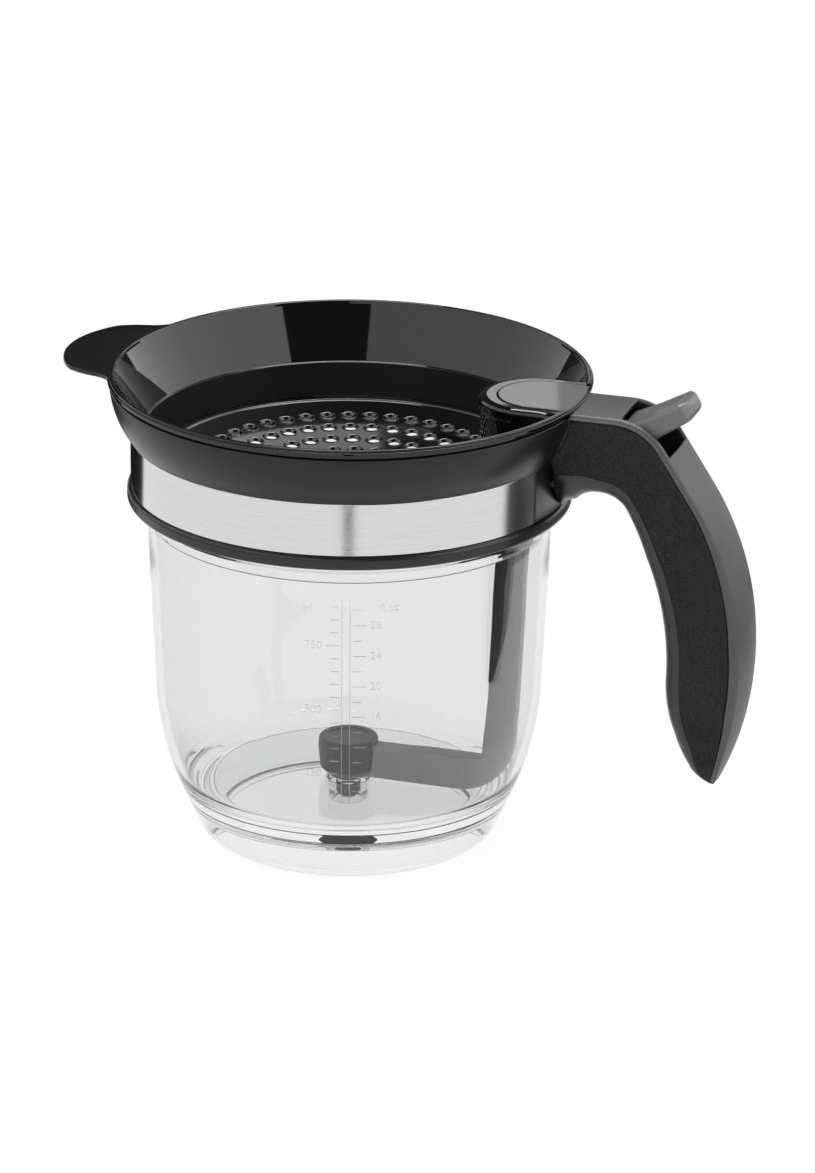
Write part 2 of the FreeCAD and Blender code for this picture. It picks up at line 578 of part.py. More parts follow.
def makeFunnel():
    body = makeBody("funnel")
    sketch = newSketch(body, "XZ_Plane", "FunnelProfile")
    seatZ = collarTop + "liftPlay"
    outline = Outline(sketch, plateBore - "plateSeatWidth", funnelBottom)
    funnelOutside(outline)
    outline.line(seatRadius, seatZ).line(seatRadius + 1.3, seatZ).line(seatRadius + 1.6, rimUnder)
    outline.line(rimRadius - 0.1, rimUnder).line(rimRadius, rimUnder + 0.9).line(rimRadius - 0.5, rimTop - 0.7)
    outline.line(rimRadius - 0.7, rimTop - 0.2).line(rimRadius - 1.2, rimTop)
    outline.line(rimRadius - "rimBead" + 0.3, rimTop - 0.2).line(rimRadius - "rimBead", rimTop - 0.7)
    outline.line(funnelEdgeRadius, funnelEdgeZ).line(funnelEdgeRadius - "funnelLedge", funnelEdgeZ - 0.2)
    outline.line(plateBore, plateEdgeTop + 0.8).line(plateBore, plateSeat)
    outline.line(plateBore - "plateSeatWidth", plateSeat).close()
    turnProfile(body, "FunnelTurn", sketch)
    # the mechanism's well stands in the funnel under the cap
    wall = newSketch(body, "XY_Plane", "WellOutline", funnelBottom)
    wellOutline(wall, size("wellRadius"), rimRadius - 2)
    addFeature(body, "Pad", "WellWall", wall, rimTop - 0.2 - funnelBottom)
    # nothing of the well stands outside the funnel
    trim = newSketch(body, "XZ_Plane", "WellTrim")
    outline = Outline(trim, rimRadius + 6, funnelBottom - 2).line(funnelSkirt, funnelBottom - 2)
    funnelOutside(outline)
    outline.line(seatRadius, seatZ).line(seatRadius + 1.3, seatZ).line(seatRadius + 1.6, rimUnder)
    outline.line(rimRadius - 0.1, rimUnder).line(rimRadius + 6, rimUnder).close()
    turnProfile(body, "WellTrimTurn", trim, kind="Groove")
    well = newSketch(body, "XY_Plane", "WellInside")
    wellOutline(well, size("wellRadius") - "wellWall" - "capLedge", seatRadius - 0.6)
    cutFeature(body, "Pocket", "WellPocket", well, rimTop + 5, reversed=True)
    recess = newSketch(body, "XY_Plane", "CapRecess", capSeat)
    wellOutline(recess, size("wellRadius") - "wellWall", rimRadius + 4)
    cutFeature(body, "Pocket", "CapPocket", recess, size(10), reversed=True)
    # grip tab
    tab = newSketch(body, "XY_Plane", "TabOutline", rimTop - 0.3 - "tabThickness")
    half, corner, seam = size("tabHalfWidth"), size("tabCornerRadius"), rimRadius - size("rimBead") / 2
    foot = half + 2
    footX = -root(seam * seam - foot * foot)
    shoulderX, cornerX = -(rimRadius + 0.4), -(size("tabReach") - "tabEndRise")
    cornerHalf = root(size("tabEndRadius") * size("tabEndRise") * 2 - size("tabEndRise") * size("tabEndRise"))
    outline = Outline(tab, footX, foot).arc(footX, -foot, seam, 1).line(shoulderX, -half)
    outline.arc(cornerX, -cornerHalf, corner, -1).arc(cornerX, cornerHalf, "tabEndRadius", -1)
    outline.arc(shoulderX, half, corner, -1).close()
    addFeature(body, "Pad", "GripTab", tab, "tabThickness")


def makeStrainerPlate():
    body = makeBody("strainer_plate")
    sketch = newSketch(body, "XZ_Plane", "PlateProfile")
    slope = tangent(size("plateSlope"))
    inner = plateRadius - "plateRimWidth"
    centreTop = plateEdgeTop - inner * slope
    outline = Outline(sketch, 0, centreTop - "plateThickness")
    outline.line(inner, plateEdgeTop - "plateThickness").line(inner, plateSeat).line(plateRadius, plateSeat)
    outline.line(plateRadius, plateEdgeTop + "plateRimRise").line(inner, plateEdgeTop + "plateRimRise")
    outline.line(inner, plateEdgeTop).line(0, centreTop).close()
    turnProfile(body, "PlateTurn", sketch)
    well = newSketch(body, "XY_Plane", "PlateWell")
    wellOutline(well, size("wellRadius") + 0.15, rimRadius)
    cutFeature(body, "Pocket", "PlateWellCut", well, rimTop, reversed=True)
    base = body.Shape.copy()
    # holes in rings, each with a raised rim; none comes near the well
    rows = int((plateRadius.value - size("outerRowInset").value) // size("holeRowPitch").value) + 1
    rim, hole = size("holeRim").value, size("holeRadius").value
    rims, drills = [], []
    for row in range(rows):
        radius = plateRadius.value - size("outerRowInset").value - row * size("holeRowPitch").value
        count = max(1, round(2 * math.pi * radius / size("holeSpacing").value))
        top = plateEdgeTop.value - (inner.value - radius) * slope.value
        for step in range(count):
            turn = math.radians(360.0 / count * (step + 0.5 * (row % 2)))
            x, y = radius * math.cos(turn), radius * math.sin(turn)
            clear = size("wellRadius").value + hole + rim + 0.6
            if math.hypot(min(x - wellX.value, 0), y) < clear and x > wellX.value - clear:
                continue
            outer, rise = hole + rim, size("holeRimRise").value
            points = [(hole, -0.6), (outer, -0.6), (outer, 0.05), (hole + rim * 0.55, rise), (hole, rise * 0.8)]
            wire = Part.makePolygon([Vector(a, 0, b) for a, b in points + points[:1]])
            ring = Part.Face(wire).revolve(Vector(0, 0, 0), Vector(0, 0, 1), 360)
            ring.translate(Vector(x, y, top))
            rims.append(ring)
            drills.append(Part.makeCylinder(hole, 6, Vector(x, y, top - 3)))
    shape = base.cut(Part.makeCompound(drills)).fuse(rims)
    plate = doc.addObject("Part::Feature", "strainer_plate_holes")
    parts.remove(body)
    body.Label = "plate_blank"
    plate.Shape = shape.Solids[0] if len(shape.Solids) == 1 else shape
    plate.Label = "strainer_plate"
    plate.Placement = FreeCAD.Placement(Vector(0, 0, 0), FreeCAD.Rotation())
    parts.append(plate)


def makeWellCap():
    body = makeBody("well_cap")
    sketch = newSketch(body, "XY_Plane", "CapOutline", capSeat)
    radius = size("wellRadius") - "wellWall" - "capFit"
    end = rimRadius - 0.2
    side = root(end * end - radius * radius)
    outline = Outline(sketch, side, -radius).line(wellX, -radius)
    outline.arc(wellX - radius, 0, radius, -1).arc(wellX, radius, radius, -1)
    outline.line(side, radius).arc(side, -radius, end, -1).close()
    addFeature(body, "Pad", "CapPad", sketch, "capThickness")
    top = (capSeat + "capThickness").value
    smooth(body, "Fillet", "CapRound", 0.35,
           lambda edge: abs(edge.BoundBox.ZMin - top) < 1e-4 and edge.BoundBox.ZLength < 1e-4)


# ---- lever and lift ----
def makeThumbLever():
    body = makeBody("thumb_lever")
    half = tangent(halfSweep)
    sketch = newSketch(body, "XZ_Plane", "NoseProfile")
    noseEnd = rodX - "noseOverrun"
    outline = Outline(sketch, noseEnd, pivotZ - (pivotX - noseEnd) * half)
    outline.line(noseEnd, pivotZ - (pivotX - noseEnd) * half - "noseDepth")
    outline.line(collarBase + 2, pivotZ - (pivotX - rodX) * half - "noseDepth" + 0.9)
    outline.line(pivotX, pivotZ - 4.2).line(pivotX, pivotZ).close()
    addFeature(body, "Pad", "NosePad", sketch, size("noseHalfWidth") * 2, symmetric=True)
    fork = newSketch(body, "XY_Plane", "ForkGap")
    gap = size("rodRadius") + "forkPlay"
    outline = Outline(fork, noseEnd - 2, -gap).line(rodX + gap + 1, -gap)
    outline.line(rodX + gap + 1, gap).line(noseEnd - 2, gap).close()
    cutFeature(body, "Pocket", "ForkPocket", fork, handleTop, reversed=True)
    paddle = newSketch(body, "XZ_Plane", "PaddleProfile")
    hub = size("leverHubRadius")
    # the pad's two faces are tangent to its round tip
    under, over, tip = size("padUnderAngle"), size("padTopAngle"), size("padTipRadius")
    tipX, tipZ = pivotX + "padReach", pivotZ + "padRise"
    lowX, lowZ = tipX + tip * sine(under), tipZ - tip * cosine(under)
    highX, highZ = tipX - tip * sine(over), tipZ + tip * cosine(over)
    below, above = size("padUnderLength"), size("padTopLength")
    outline = Outline(paddle, pivotX - hub, pivotZ).arc(pivotX, pivotZ - hub, hub, 1)
    outline.line(pivotX + 4.2, pivotZ - 2.4).line(lowX - below * cosine(under), lowZ - below * sine(under))
    outline.line(lowX, lowZ).arc(highX, highZ, tip, 1)
    outline.line(highX - above * cosine(over), highZ - above * sine(over))
    outline.line(pivotX + 2.6, pivotZ + 7).line(pivotX - 2, pivotZ + 4.4).close()
    addFeature(body, "Pad", "PaddlePad", paddle, size("leverHalfWidth") * 2, symmetric=True)
    bore = newSketch(body, "XZ_Plane", "LeverBore")
    circle(bore, pivotX, pivotZ, size("pivotRadius") + "pivotPlay")
    cutFeature(body, "Pocket", "LeverBorePocket", bore, size("leverHalfWidth") * 2 + 4, symmetric=True)
    reach = (pivotX + "padReach").value

    def padEdge(edge):
        box = edge.BoundBox
        onSide = abs(abs(box.YMin) - size("leverHalfWidth").value) < 1e-4 and box.YLength < 1e-4
        return onSide and box.XMax > reach - 3 and edge.Length > 1

    smooth(body, "Fillet", "PaddleRound", 1.2, padEdge)


def makePivotPin():
    body = makeBody("pivot_pin")
    sketch = newSketch(body, "XZ_Plane", "PivotPinCircle")
    circle(sketch, pivotX, pivotZ, "pivotRadius")
    length = (size("handleHalfWidth") - "handleWall" + "pivotGrip" - 0.1) * 2
    addFeature(body, "Pad", "PivotPinPad", sketch, length, symmetric=True)


def makeRodGuide():
    body = makeBody("rod_guide")
    sketch = newSketch(body, "XY_Plane", "GuideOutline", guideBottom)
    half, nose = size("guideHalfWidth"), size("springRadius") + "springWire" + 0.8
    back = skirtInner - 0.6
    outline = Outline(sketch, back, -half - 4).line(back - 2.2, -half - 4).line(back - 4, -nose)
    outline.line(rodX, -nose).arc(rodX - nose, 0, nose, -1).arc(rodX, nose, nose, -1)
    outline.line(back - 4, nose).line(back - 2.2, half + 4).line(back, half + 4).close()
    addFeature(body, "Pad", "GuidePad", sketch, "guideThickness")
    flange = newSketch(body, "XY_Plane", "GuideFlange", shelfTop + 0.1)
    outline = Outline(flange, back, -half - 4).line(back - 2.2, -half - 4).line(back - 2.2, half + 4)
    outline.line(back, half + 4).close()
    addFeature(body, "Pad", "FlangePad", flange, guideTop - shelfTop - 0.1)
    # the flange's back is shaped to the head's inner wall
    trim = newSketch(body, "XZ_Plane", "GuideTrim")
    outline = Outline(trim, skirtInner - 0.02, shelfTop - 1).line(rimRadius + 5, shelfTop - 1)
    outline.line(rimRadius + 5, guideTop + 1).line(skirtInner - 0.02, guideTop + 1).close()
    turn = turnProfile(body, "GuideTrimTurn", trim, kind="Groove")
    bore = newSketch(body, "XY_Plane", "GuideBore")
    circle(bore, rodX, 0, size("rodRadius") + "guidePlay")
    cutFeature(body, "Pocket", "GuideBorePocket", bore, rimTop, reversed=True)
    holes = newSketch(body, "YZ_Plane", "GuideScrewHoles")
    for side in (-1, 1):
        circle(holes, size("screwSpacing") / 2 * side, shelfTop + "screwRise", size("screwRadius"))
    cutFeature(body, "Pocket", "GuideScrewPocket", holes, rimRadius, reversed=True)
    return turn


def makeHandleScrews():
    # two equal screws that hold the guide, the head and the handle together
    head = skirtInner - 2.8 - "screwHeadHeight"
    solids = []
    for side in (-1, 1):
        y = size("screwSpacing").value / 2 * side
        z = (shelfTop + "screwRise").value
        start, height = head.value, size("screwHeadHeight").value
        cap = Part.makeCylinder(size("screwHeadRadius").value, height, Vector(start, y, z), Vector(1, 0, 0))
        shank = Part.makeCylinder(size("screwRadius").value, skirtInner.value + size("screwLength").value - 3 - start,
                                  Vector(start, y, z), Vector(1, 0, 0))
        cross = Part.makeBox(1.2, 0.8, 3.2, Vector(start - 0.2, y - 0.4, z - 1.6))
        bar = Part.makeBox(1.2, 3.2, 0.8, Vector(start - 0.2, y - 1.6, z - 0.4))
        solids.append(cap.fuse(shank).removeSplitter().cut(cross).cut(bar))
    screws = doc.addObject("Part::Feature", "handle_screws")
    screws.Shape = Part.makeCompound(solids)
    screws.Label = "handle_screws"
    screws.Placement = FreeCAD.Placement(Vector(0, 0, 0), FreeCAD.Rotation())
    parts.append(screws)


def armEdge(height):
    # outer edge of the arm, a little inside the beaker's wall
    return wallOutside(height) - "beakerWall" - "armWallPlay"


def makeLiftArm():
    body = makeBody("lift_arm")
    sketch = newSketch(body, "XZ_Plane", "ArmProfile")
    low = size("floorHeight") + "armFloorPlay"
    width, foot = size("armWidth"), size("armFootHeight")
    bend = low + "armCorner"
    kneeX = armEdge(size("bendHeight"))
    footX = armEdge(bend) - 2.6
    outline = Outline(sketch, "armSocket", low).line(footX - "armCorner" + 1, low)
    outline.arc(footX, bend, size("armCorner"), 1).line(kneeX, "bendHeight").line(armEdge(armTop), armTop)
    outline.line(armEdge(armTop) - width, armTop).line(kneeX - width, "bendHeight")
    outline.line(footX - width + 0.4, low + foot).line("armSocket", low + foot).close()
    addFeature(body, "Pad", "ArmPad", sketch, "armThickness", symmetric=True)
    # slot that takes the rod's tail
    rodTail(body, newSketch(body, "XZ_Plane", "RodFaceSlot"), "face", cut=True)
    rodTail(body, newSketch(body, "XZ_Plane", "RodCoreSlot"), "core", cut=True)


def rodTail(body, sketch, part, cut=False):
    # the rod's flat tail tapers down along the arm's inner edge; its lower stretch is as wide as the arm
    faceTop, tailEnd = armTop - "rodFaceDrop", rimTopOfBeaker - "rodTailDrop"
    width, play = size("armWidth"), 0.05 if cut else 0
    innerTop = armEdge(faceTop) - width
    innerEnd = armEdge(tailEnd) - width
    if part == "face":
        outline = Outline(sketch, innerEnd - 0.02, tailEnd).line(innerEnd + 1.6, tailEnd)
        outline.line(innerTop + 4 + play, faceTop - 9).line(innerTop + 4.6 + play, faceTop)
        outline.line(innerTop - 0.02, faceTop).close()
        thickness = size("armThickness") + (2 if cut else 0)
    else:
        top = armTop + (1 if cut else 0)
        outline = Outline(sketch, innerTop + 1 - play, faceTop - 2).line(innerTop + 3.8 + play, faceTop - 2)
        outline.line(rodX + 2 + play, armTop - 4).line(rodX + 2 + play, top).line(rodX - 2 - play, top)
        outline.line(rodX - 2 - play, armTop - 4).close()
        thickness = size(3.6 + 2 * play)
    name = body.Label + part
    if cut:
        return cutFeature(body, "Pocket", name, sketch, thickness, symmetric=True)
    return addFeature(body, "Pad", name, sketch, thickness, symmetric=True)


def makeLiftRod():
    body = makeBody("lift_rod")
    rodTail(body, newSketch(body, "XZ_Plane", "RodFace"), "face")
    rodTail(body, newSketch(body, "XZ_Plane", "RodCore"), "core")
    sketch = newSketch(body, "XY_Plane", "RodCircle", armTop)
    circle(sketch, rodX, 0, "rodRadius")
    addFeature(body, "Pad", "RodPad", sketch, crossPinZ + 3.2 - armTop)
    bore = newSketch(body, "XZ_Plane", "CrossBore")
    circle(bore, rodX, crossPinZ, "crossPinRadius")
    cutFeature(body, "Pocket", "CrossBorePocket", bore, size(12), symmetric=True)


def makeCrossPin():
    body = makeBody("cross_pin")
    sketch = newSketch(body, "XZ_Plane", "CrossPinCircle")
    circle(sketch, rodX, crossPinZ, "crossPinRadius")
    addFeature(body, "Pad", "CrossPinPad", sketch, size("noseHalfWidth") * 2, symmetric=True)


def makeReturnSpring():
    # round wire wound between the arm's top and the guide
    low = armTop.value + size("springPlay").value + size("springWire").value / 2
    high = guideBottom.value - size("springPlay").value - size("springWire").value / 2
    turns = size("springTurns").value
    radius = size("springRadius").value
    helix = Part.makeHelix((high - low) / turns, high - low, radius)
    wire = Part.Wire(helix.Edges)
    profile = Part.Wire(Part.makeCircle(size("springWire").value / 2, Vector(radius, 0, 0), Vector(0, 1, 0)))
    coil = wire.makePipeShell([profile], True, True)
    spring = doc.addObject("Part::Feature", "return_spring")
    spring.Shape = coil
    spring.Label = "return_spring"
    spring.Placement = FreeCAD.Placement(Vector(rodX.value, 0, low), FreeCAD.Rotation())
    parts.append(spring)


hubLow = size("floorHeight") + "hubFloorPlay"


def makeStopperHub():
    body = makeBody("stopper_hub")
    sketch = newSketch(body, "XZ_Plane", "HubProfile")
    radius, high = size("hubRadius"), hubLow + "hubHeight"
    chamfer, stem = size("hubChamfer"), size("stemRadius")
    outline = Outline(sketch, stem, hubLow).line(radius - chamfer, hubLow).line(radius, hubLow + chamfer)
    outline.line(radius, high - 1).line(radius - 0.3, high - 0.3).line(radius - 1, high)
    outline.line(0, high).line(0, high - 2.2).line(stem, high - 2.2).close()
    turnProfile(body, "HubTurn", sketch)
    slot = newSketch(body, "XZ_Plane", "ArmSocket")
    low, foot = size("floorHeight") + "armFloorPlay", size("armFootHeight")
    outline = Outline(slot, "armSocket", low - 2).line(radius + 3, low - 2).line(radius + 3, low + foot)
    outline.line("armSocket", low + foot).close()
    cutFeature(body, "Pocket", "ArmSocketPocket", slot, "armThickness", symmetric=True)


def makeStopper():
    body = makeBody("stopper_plug")
    sketch = newSketch(body, "XZ_Plane", "PlugProfile")
    bore, play = size("outletRadius"), size("plugPlay")
    floor, stem = size("floorHeight"), size("stemRadius")
    low = floor - "floorThickness" - "nozzleLength" + "plugTip"
    outline = Outline(sketch, stem, low).line(bore - play - 1, low).line(bore - play, low + 1.6)
    outline.line(bore - play, floor - "seatDepth" + 0.1).line(bore + "seatDepth" - play, floor + 0.1)
    outline.line(bore + "seatDepth" - play, hubLow).line(stem, hubLow).close()
    turnProfile(body, "PlugTurn", sketch)


def makeStem():
    body = makeBody("stopper_stem")
    sketch = newSketch(body, "XZ_Plane", "StemProfile")
    low = size("floorHeight") - "floorThickness" - "nozzleLength" + "plugTip"
    high = hubLow + "hubHeight" - 2.2
    outline = Outline(sketch, 0, low - 0.7).line(2.4, low - 0.7).line(2.4, low).line("stemRadius", low)
    outline.line("stemRadius", high).line(0, high).close()
    turnProfile(body, "StemTurn", sketch)


makeBeaker()
makeGasket()
makeLockRing()
makeCollar()
makeSteelBand()
makeHandleShell()
makeSpineCover()
makeFunnel()
makeStrainerPlate()
makeWellCap()
makeThumbLever()
makePivotPin()
makeRodGuide()
makeHandleScrews()
makeLiftArm()
makeLiftRod()
makeCrossPin()
makeReturnSpring()
makeStopperHub()
makeStopper()
makeStem()

doc.recompute()
for thing in doc.Objects:
    if "Invalid" in thing.State or "Error" in thing.State:
        raise ValueError("%s failed: %s" % (thing.Label, thing.State))
for part in parts:
    shape = part.Shape
    if shape.isNull() or not shape.isValid() or not shape.Solids:
        raise ValueError("%s has no valid solid" % part.Label)
    shape.exportStep("parts/%s.step" % part.Label)
    box = shape.BoundBox
    print("%-16s solids %d volume %9.1f  X %.1f..%.1f Y %.1f..%.1f Z %.1f..%.1f" % (
        part.Label, len(shape.Solids), shape.Volume, box.XMin, box.XMax, box.YMin, box.YMax, box.ZMin, box.ZMax))
print("lift travel %.2f mm for %.0f degrees" % (liftTravel.value, size("leverSweep").value))
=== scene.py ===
import bpy
import bmesh
import math
import re
import numpy as np
from mathutils import Matrix


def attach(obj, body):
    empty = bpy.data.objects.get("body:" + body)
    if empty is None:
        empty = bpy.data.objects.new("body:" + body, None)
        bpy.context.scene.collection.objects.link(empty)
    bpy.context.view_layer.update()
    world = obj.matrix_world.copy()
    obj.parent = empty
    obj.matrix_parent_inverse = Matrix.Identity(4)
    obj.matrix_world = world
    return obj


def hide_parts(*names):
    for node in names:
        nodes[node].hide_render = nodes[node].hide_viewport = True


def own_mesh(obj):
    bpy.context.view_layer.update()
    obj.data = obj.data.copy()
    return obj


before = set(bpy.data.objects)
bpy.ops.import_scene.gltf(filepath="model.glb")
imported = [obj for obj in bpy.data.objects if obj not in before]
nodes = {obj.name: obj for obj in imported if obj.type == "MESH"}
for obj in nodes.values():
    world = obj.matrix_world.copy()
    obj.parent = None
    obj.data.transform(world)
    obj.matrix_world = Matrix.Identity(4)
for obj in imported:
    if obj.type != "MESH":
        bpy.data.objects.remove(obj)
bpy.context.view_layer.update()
mm = 0.001
print("frame loaded,", len(nodes), "nodes")


class Wire:
    # a socket of a material: sums and products of wires add their own Math nodes
    def __init__(self, paint, socket):
        self.paint = paint
        self.socket = socket

    def maths(self, operation, first, second):
        return self.paint.node("ShaderNodeMath", {"operation": operation}, {0: first, 1: second})

    def __add__(self, other):
        return self.maths("ADD", self, other)

    def __sub__(self, other):
        return self.maths("SUBTRACT", self, other)

    def __mul__(self, other):
        return self.maths("MULTIPLY", self, other)

    def __rsub__(self, other):
        return self.maths("SUBTRACT", other, self)

    def __pow__(self, other):
        return self.maths("POWER", self, other)

    __radd__ = __add__
    __rmul__ = __mul__

    def clamp(self):
        return self.paint.node("ShaderNodeClamp", {}, {0: self})


class Paint:
    # a material, or the world, and the one way nodes are added to it
    def __init__(self, name, holder=None):
        self.holder = holder or bpy.data.materials.new(name)
        self.holder.use_nodes = True
        self.tree = self.holder.node_tree
        self.tree.nodes.clear()

    def node(self, kind, settings, inputs, output=0):
        made = self.tree.nodes.new(kind)
        for key, value in settings.items():
            setattr(made, key, value)
        for key, value in inputs.items():
            socket = made.inputs[key]
            if isinstance(value, Wire):
                self.tree.links.new(value.socket, socket)
            elif isinstance(value, tuple) and len(value) == 3 and len(socket.default_value) == 4:
                socket.default_value = (*value, 1.0)
            else:
                socket.default_value = value
        return Wire(self, made.outputs[output]) if output is not None else None

    def noise(self, scale, detail=2.0, stretch=(1, 1, 1), rough=0.5):
        where = self.node("ShaderNodeTexCoord", {}, {}, "Object")
        place = self.node("ShaderNodeMapping", {}, {"Vector": where, "Scale": stretch})
        return self.node("ShaderNodeTexNoise", {}, {"Vector": place, "Scale": scale, "Detail": detail,
                                                    "Roughness": rough}, "Fac")

    def tint(self, amount, dark, light):
        return self.node("ShaderNodeMix", {"data_type": "RGBA"}, {0: amount, 6: dark, 7: light}, 2)

    def bump(self, height, strength, depth):
        return self.node("ShaderNodeBump", {}, {"Height": height, "Strength": strength, "Distance": depth})

    def rays(self, *kinds):
        # 1 on the rays of these kinds, 0 on all others
        wires = [self.node("ShaderNodeLightPath", {}, {}, "Is %s Ray" % kind) for kind in kinds]
        return sum(wires[1:], wires[0]).clamp()

    def surface(self, **sockets):
        # baseColor stands for the socket Base Color
        named = {key if key == "IOR" else re.sub("([A-Z])", r" \1", key).title().replace("Ior", "IOR"): value
                 for key, value in sockets.items()}
        return self.output(self.node("ShaderNodeBsdfPrincipled", {}, named))

    def output(self, shader, kind="Material"):
        self.node("ShaderNodeOutput" + kind, {}, {"Surface": shader}, None)
        return self.holder


def grey(shade):
    return (shade, shade, shade)


def clearPlastic():
    # painted shade: the wall's colour is made darker where it is met edge on
    paint = Paint("clearBeaker")
    edge = paint.node("ShaderNodeLayerWeight", {}, {"Blend": 0.5}, 1) ** 2.5
    return paint.surface(baseColor=paint.tint(edge, (0.875, 0.876, 0.878), (0.58, 0.585, 0.59)),
                         roughness=0.0, IOR=1.49, transmissionWeight=1.0)


def glossBlack(name, shade, roughness, coat):
    paint = Paint(name)
    cloud = paint.noise(35, 3)
    return paint.surface(baseColor=paint.tint(cloud, grey(shade * 0.8), grey(shade * 1.2)),
                         roughness=roughness + cloud * 0.02, coatWeight=coat, coatRoughness=0.03,
                         normal=paint.bump(paint.noise(60, 2), 0.02, 0.0002))


def satinPlastic(name, shade, roughness, grain, depth, shine=0.5):
    # moulded plastic with a fine sparked grain
    paint = Paint(name)
    fine = paint.noise(grain, 2, rough=0.6)
    broad = paint.noise(60, 3)
    return paint.surface(baseColor=paint.tint(broad, grey(shade * 0.85), grey(shade * 1.15)),
                         roughness=roughness + broad * 0.05 + fine * 0.04, specularIorLevel=shine,
                         normal=paint.bump(fine, 0.5, depth))


def grainBlack():
    # eroded moulding: a coarse grain whose tops are smoother than its pits; its colour is painted shade,
    # darker in the pits and lighter on the tops
    paint = Paint("handleBlack")
    grain = paint.noise(1500, 3, rough=0.7)
    broad = paint.noise(45, 3)
    reliefShadeAndPolish = paint.node("ShaderNodeMapRange", {}, {0: grain, 1: 0.4, 2: 0.68})
    # painted shade and highlight: the colour follows the grain's height, while the smoother tops are the real
    # polish
    return paint.surface(baseColor=paint.tint(reliefShadeAndPolish, grey(0.006), grey(0.022)), specularIorLevel=0.28,
                         roughness=0.55 - reliefShadeAndPolish * 0.14 + broad * 0.06, normal=paint.bump(grain, 0.55, 0.00025))


def brushedSteel():
    # streaks run round the band, so the noise is stretched far along X and Y and little along Z
    paint = Paint("brushedBand")
    streaks = paint.noise(1.0, 4, (60, 60, 5200), 0.65)
    broad = paint.noise(1.0, 2, (25, 25, 900))
    return paint.surface(baseColor=paint.tint(streaks, (0.56, 0.56, 0.565), (0.76, 0.76, 0.765)),
                         metallic=1.0, roughness=0.1 + streaks * 0.08 + broad * 0.02, anisotropic=0.6,
                         anisotropicRotation=0.25, normal=paint.bump(streaks, 0.12, 0.0001))


def plainSteel():
    paint = Paint("steelWire")
    streaks = paint.noise(900, 2)
    return paint.surface(baseColor=paint.tint(streaks, (0.5, 0.5, 0.51), (0.62, 0.62, 0.63)), metallic=1.0,
                         roughness=0.22 + streaks * 0.1)


def softRubber():
    paint = Paint("blackRubber")
    fine = paint.noise(1500, 2)
    return paint.surface(baseColor=paint.tint(fine, grey(0.016), grey(0.028)), roughness=0.6 + fine * 0.1,
                         normal=paint.bump(fine, 0.2, 0.00005))


clear = clearPlastic()
funnelBlack = glossBlack("funnelBlack", 0.004, 0.03, 0.0)
boreBlack = satinPlastic("boreBlack", 0.004, 0.45, 400, 0.00003, 0.15)
plateBlack = glossBlack("plateBlack", 0.004, 0.1, 0.6)
capBlack = glossBlack("capBlack", 0.014, 0.05, 0.0)
collarBlack = satinPlastic("collarBlack", 0.009, 0.27, 2600, 0.00002, 0.4)
ringBlack = satinPlastic("ringBlack", 0.012, 0.25, 2600, 0.00001)
handleBlack = grainBlack()
spineGrey = satinPlastic("spineGrey", 0.092, 0.42, 3200, 0.00003)
leverGrey = satinPlastic("leverGrey", 0.19, 0.36, 3200, 0.00003)
stripBlack = satinPlastic("stripBlack", 0.012, 0.2, 3200, 0.00002, 0.6)
armGrey = satinPlastic("armGrey", 0.3, 0.42, 2600, 0.00003)
hubBlack = satinPlastic("hubBlack", 0.03, 0.4, 2600, 0.00003)
steel = brushedSteel()
wireSteel = plainSteel()
rubber = softRubber()
print("materials made")


def gridFaces(rows, columns, wrapRows=False, wrapColumns=True):
    # the four-sided faces of a grid of points, numbered row by row
    down = np.arange(rows if wrapRows else rows - 1)
    along = np.arange(columns if wrapColumns else columns - 1)
    down, along = np.meshgrid(down, along, indexing="ij")
    nextDown, nextAlong = (down + 1) % rows, (along + 1) % columns
    corners = [down * columns + along, down * columns + nextAlong,
               nextDown * columns + nextAlong, nextDown * columns + along]
    return np.stack(corners, axis=-1).reshape(-1, 4)


def manyGrids(count, rows, columns):
    # the faces of several grids of one size whose points follow one another
    starts = np.arange(count) * rows * columns
    return (gridFaces(rows, columns)[None] + starts[:, None, None]).reshape(-1, 4)


def capped(grid):
    # a tube: the rows of the grid are closed rings, and a face closes the first and the last of them
    rows, columns = grid.shape[:2]
    ends = [list(range(columns))[::-1], list(range((rows - 1) * columns, rows * columns))]
    return grid.reshape(-1, 3), gridFaces(rows, columns).tolist() + ends


def newMesh(name, points, faces):
    mesh = bpy.data.meshes.new(name)
    mesh.from_pydata(points.tolist(), [], [list(face) for face in faces])
    return mesh


def addObject(name, data):
    made = bpy.data.objects.new(name, data)
    bpy.context.scene.collection.objects.link(made)
    return made


def makePiece(name, shape, material, body, replaced=(), sharp=None, closed=True):
    # shape holds points in millimetres and faces; the sign of the volume they hold turns the faces outwards
    points, faces = shape
    mesh = newMesh(name, points * mm, faces)
    work = bmesh.new()
    work.from_mesh(mesh)
    bmesh.ops.remove_doubles(work, verts=work.verts, dist=2e-6)
    bmesh.ops.dissolve_degenerate(work, edges=work.edges, dist=1e-7)
    if closed and work.calc_volume(signed=True) < 0:
        bmesh.ops.reverse_faces(work, faces=work.faces)
    work.to_mesh(mesh)
    work.free()
    mesh.shade_smooth()
    if sharp is not None:
        mesh.set_sharp_from_angle(angle=math.radians(sharp))
    piece = addObject(name, mesh)
    mesh.materials.append(material)
    if replaced:
        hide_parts(*replaced)
    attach(piece, body)
    return piece


def secondFinish(piece, material, isChosen):
    # faces whose middle points are chosen get a second material
    mesh = piece.data
    mesh.materials.append(material)
    centres = np.empty(len(mesh.polygons) * 3)
    mesh.polygons.foreach_get("center", centres)
    chosen = isChosen(centres.reshape(-1, 3) / mm)
    mesh.polygons.foreach_set("material_index", chosen.astype(np.int32))


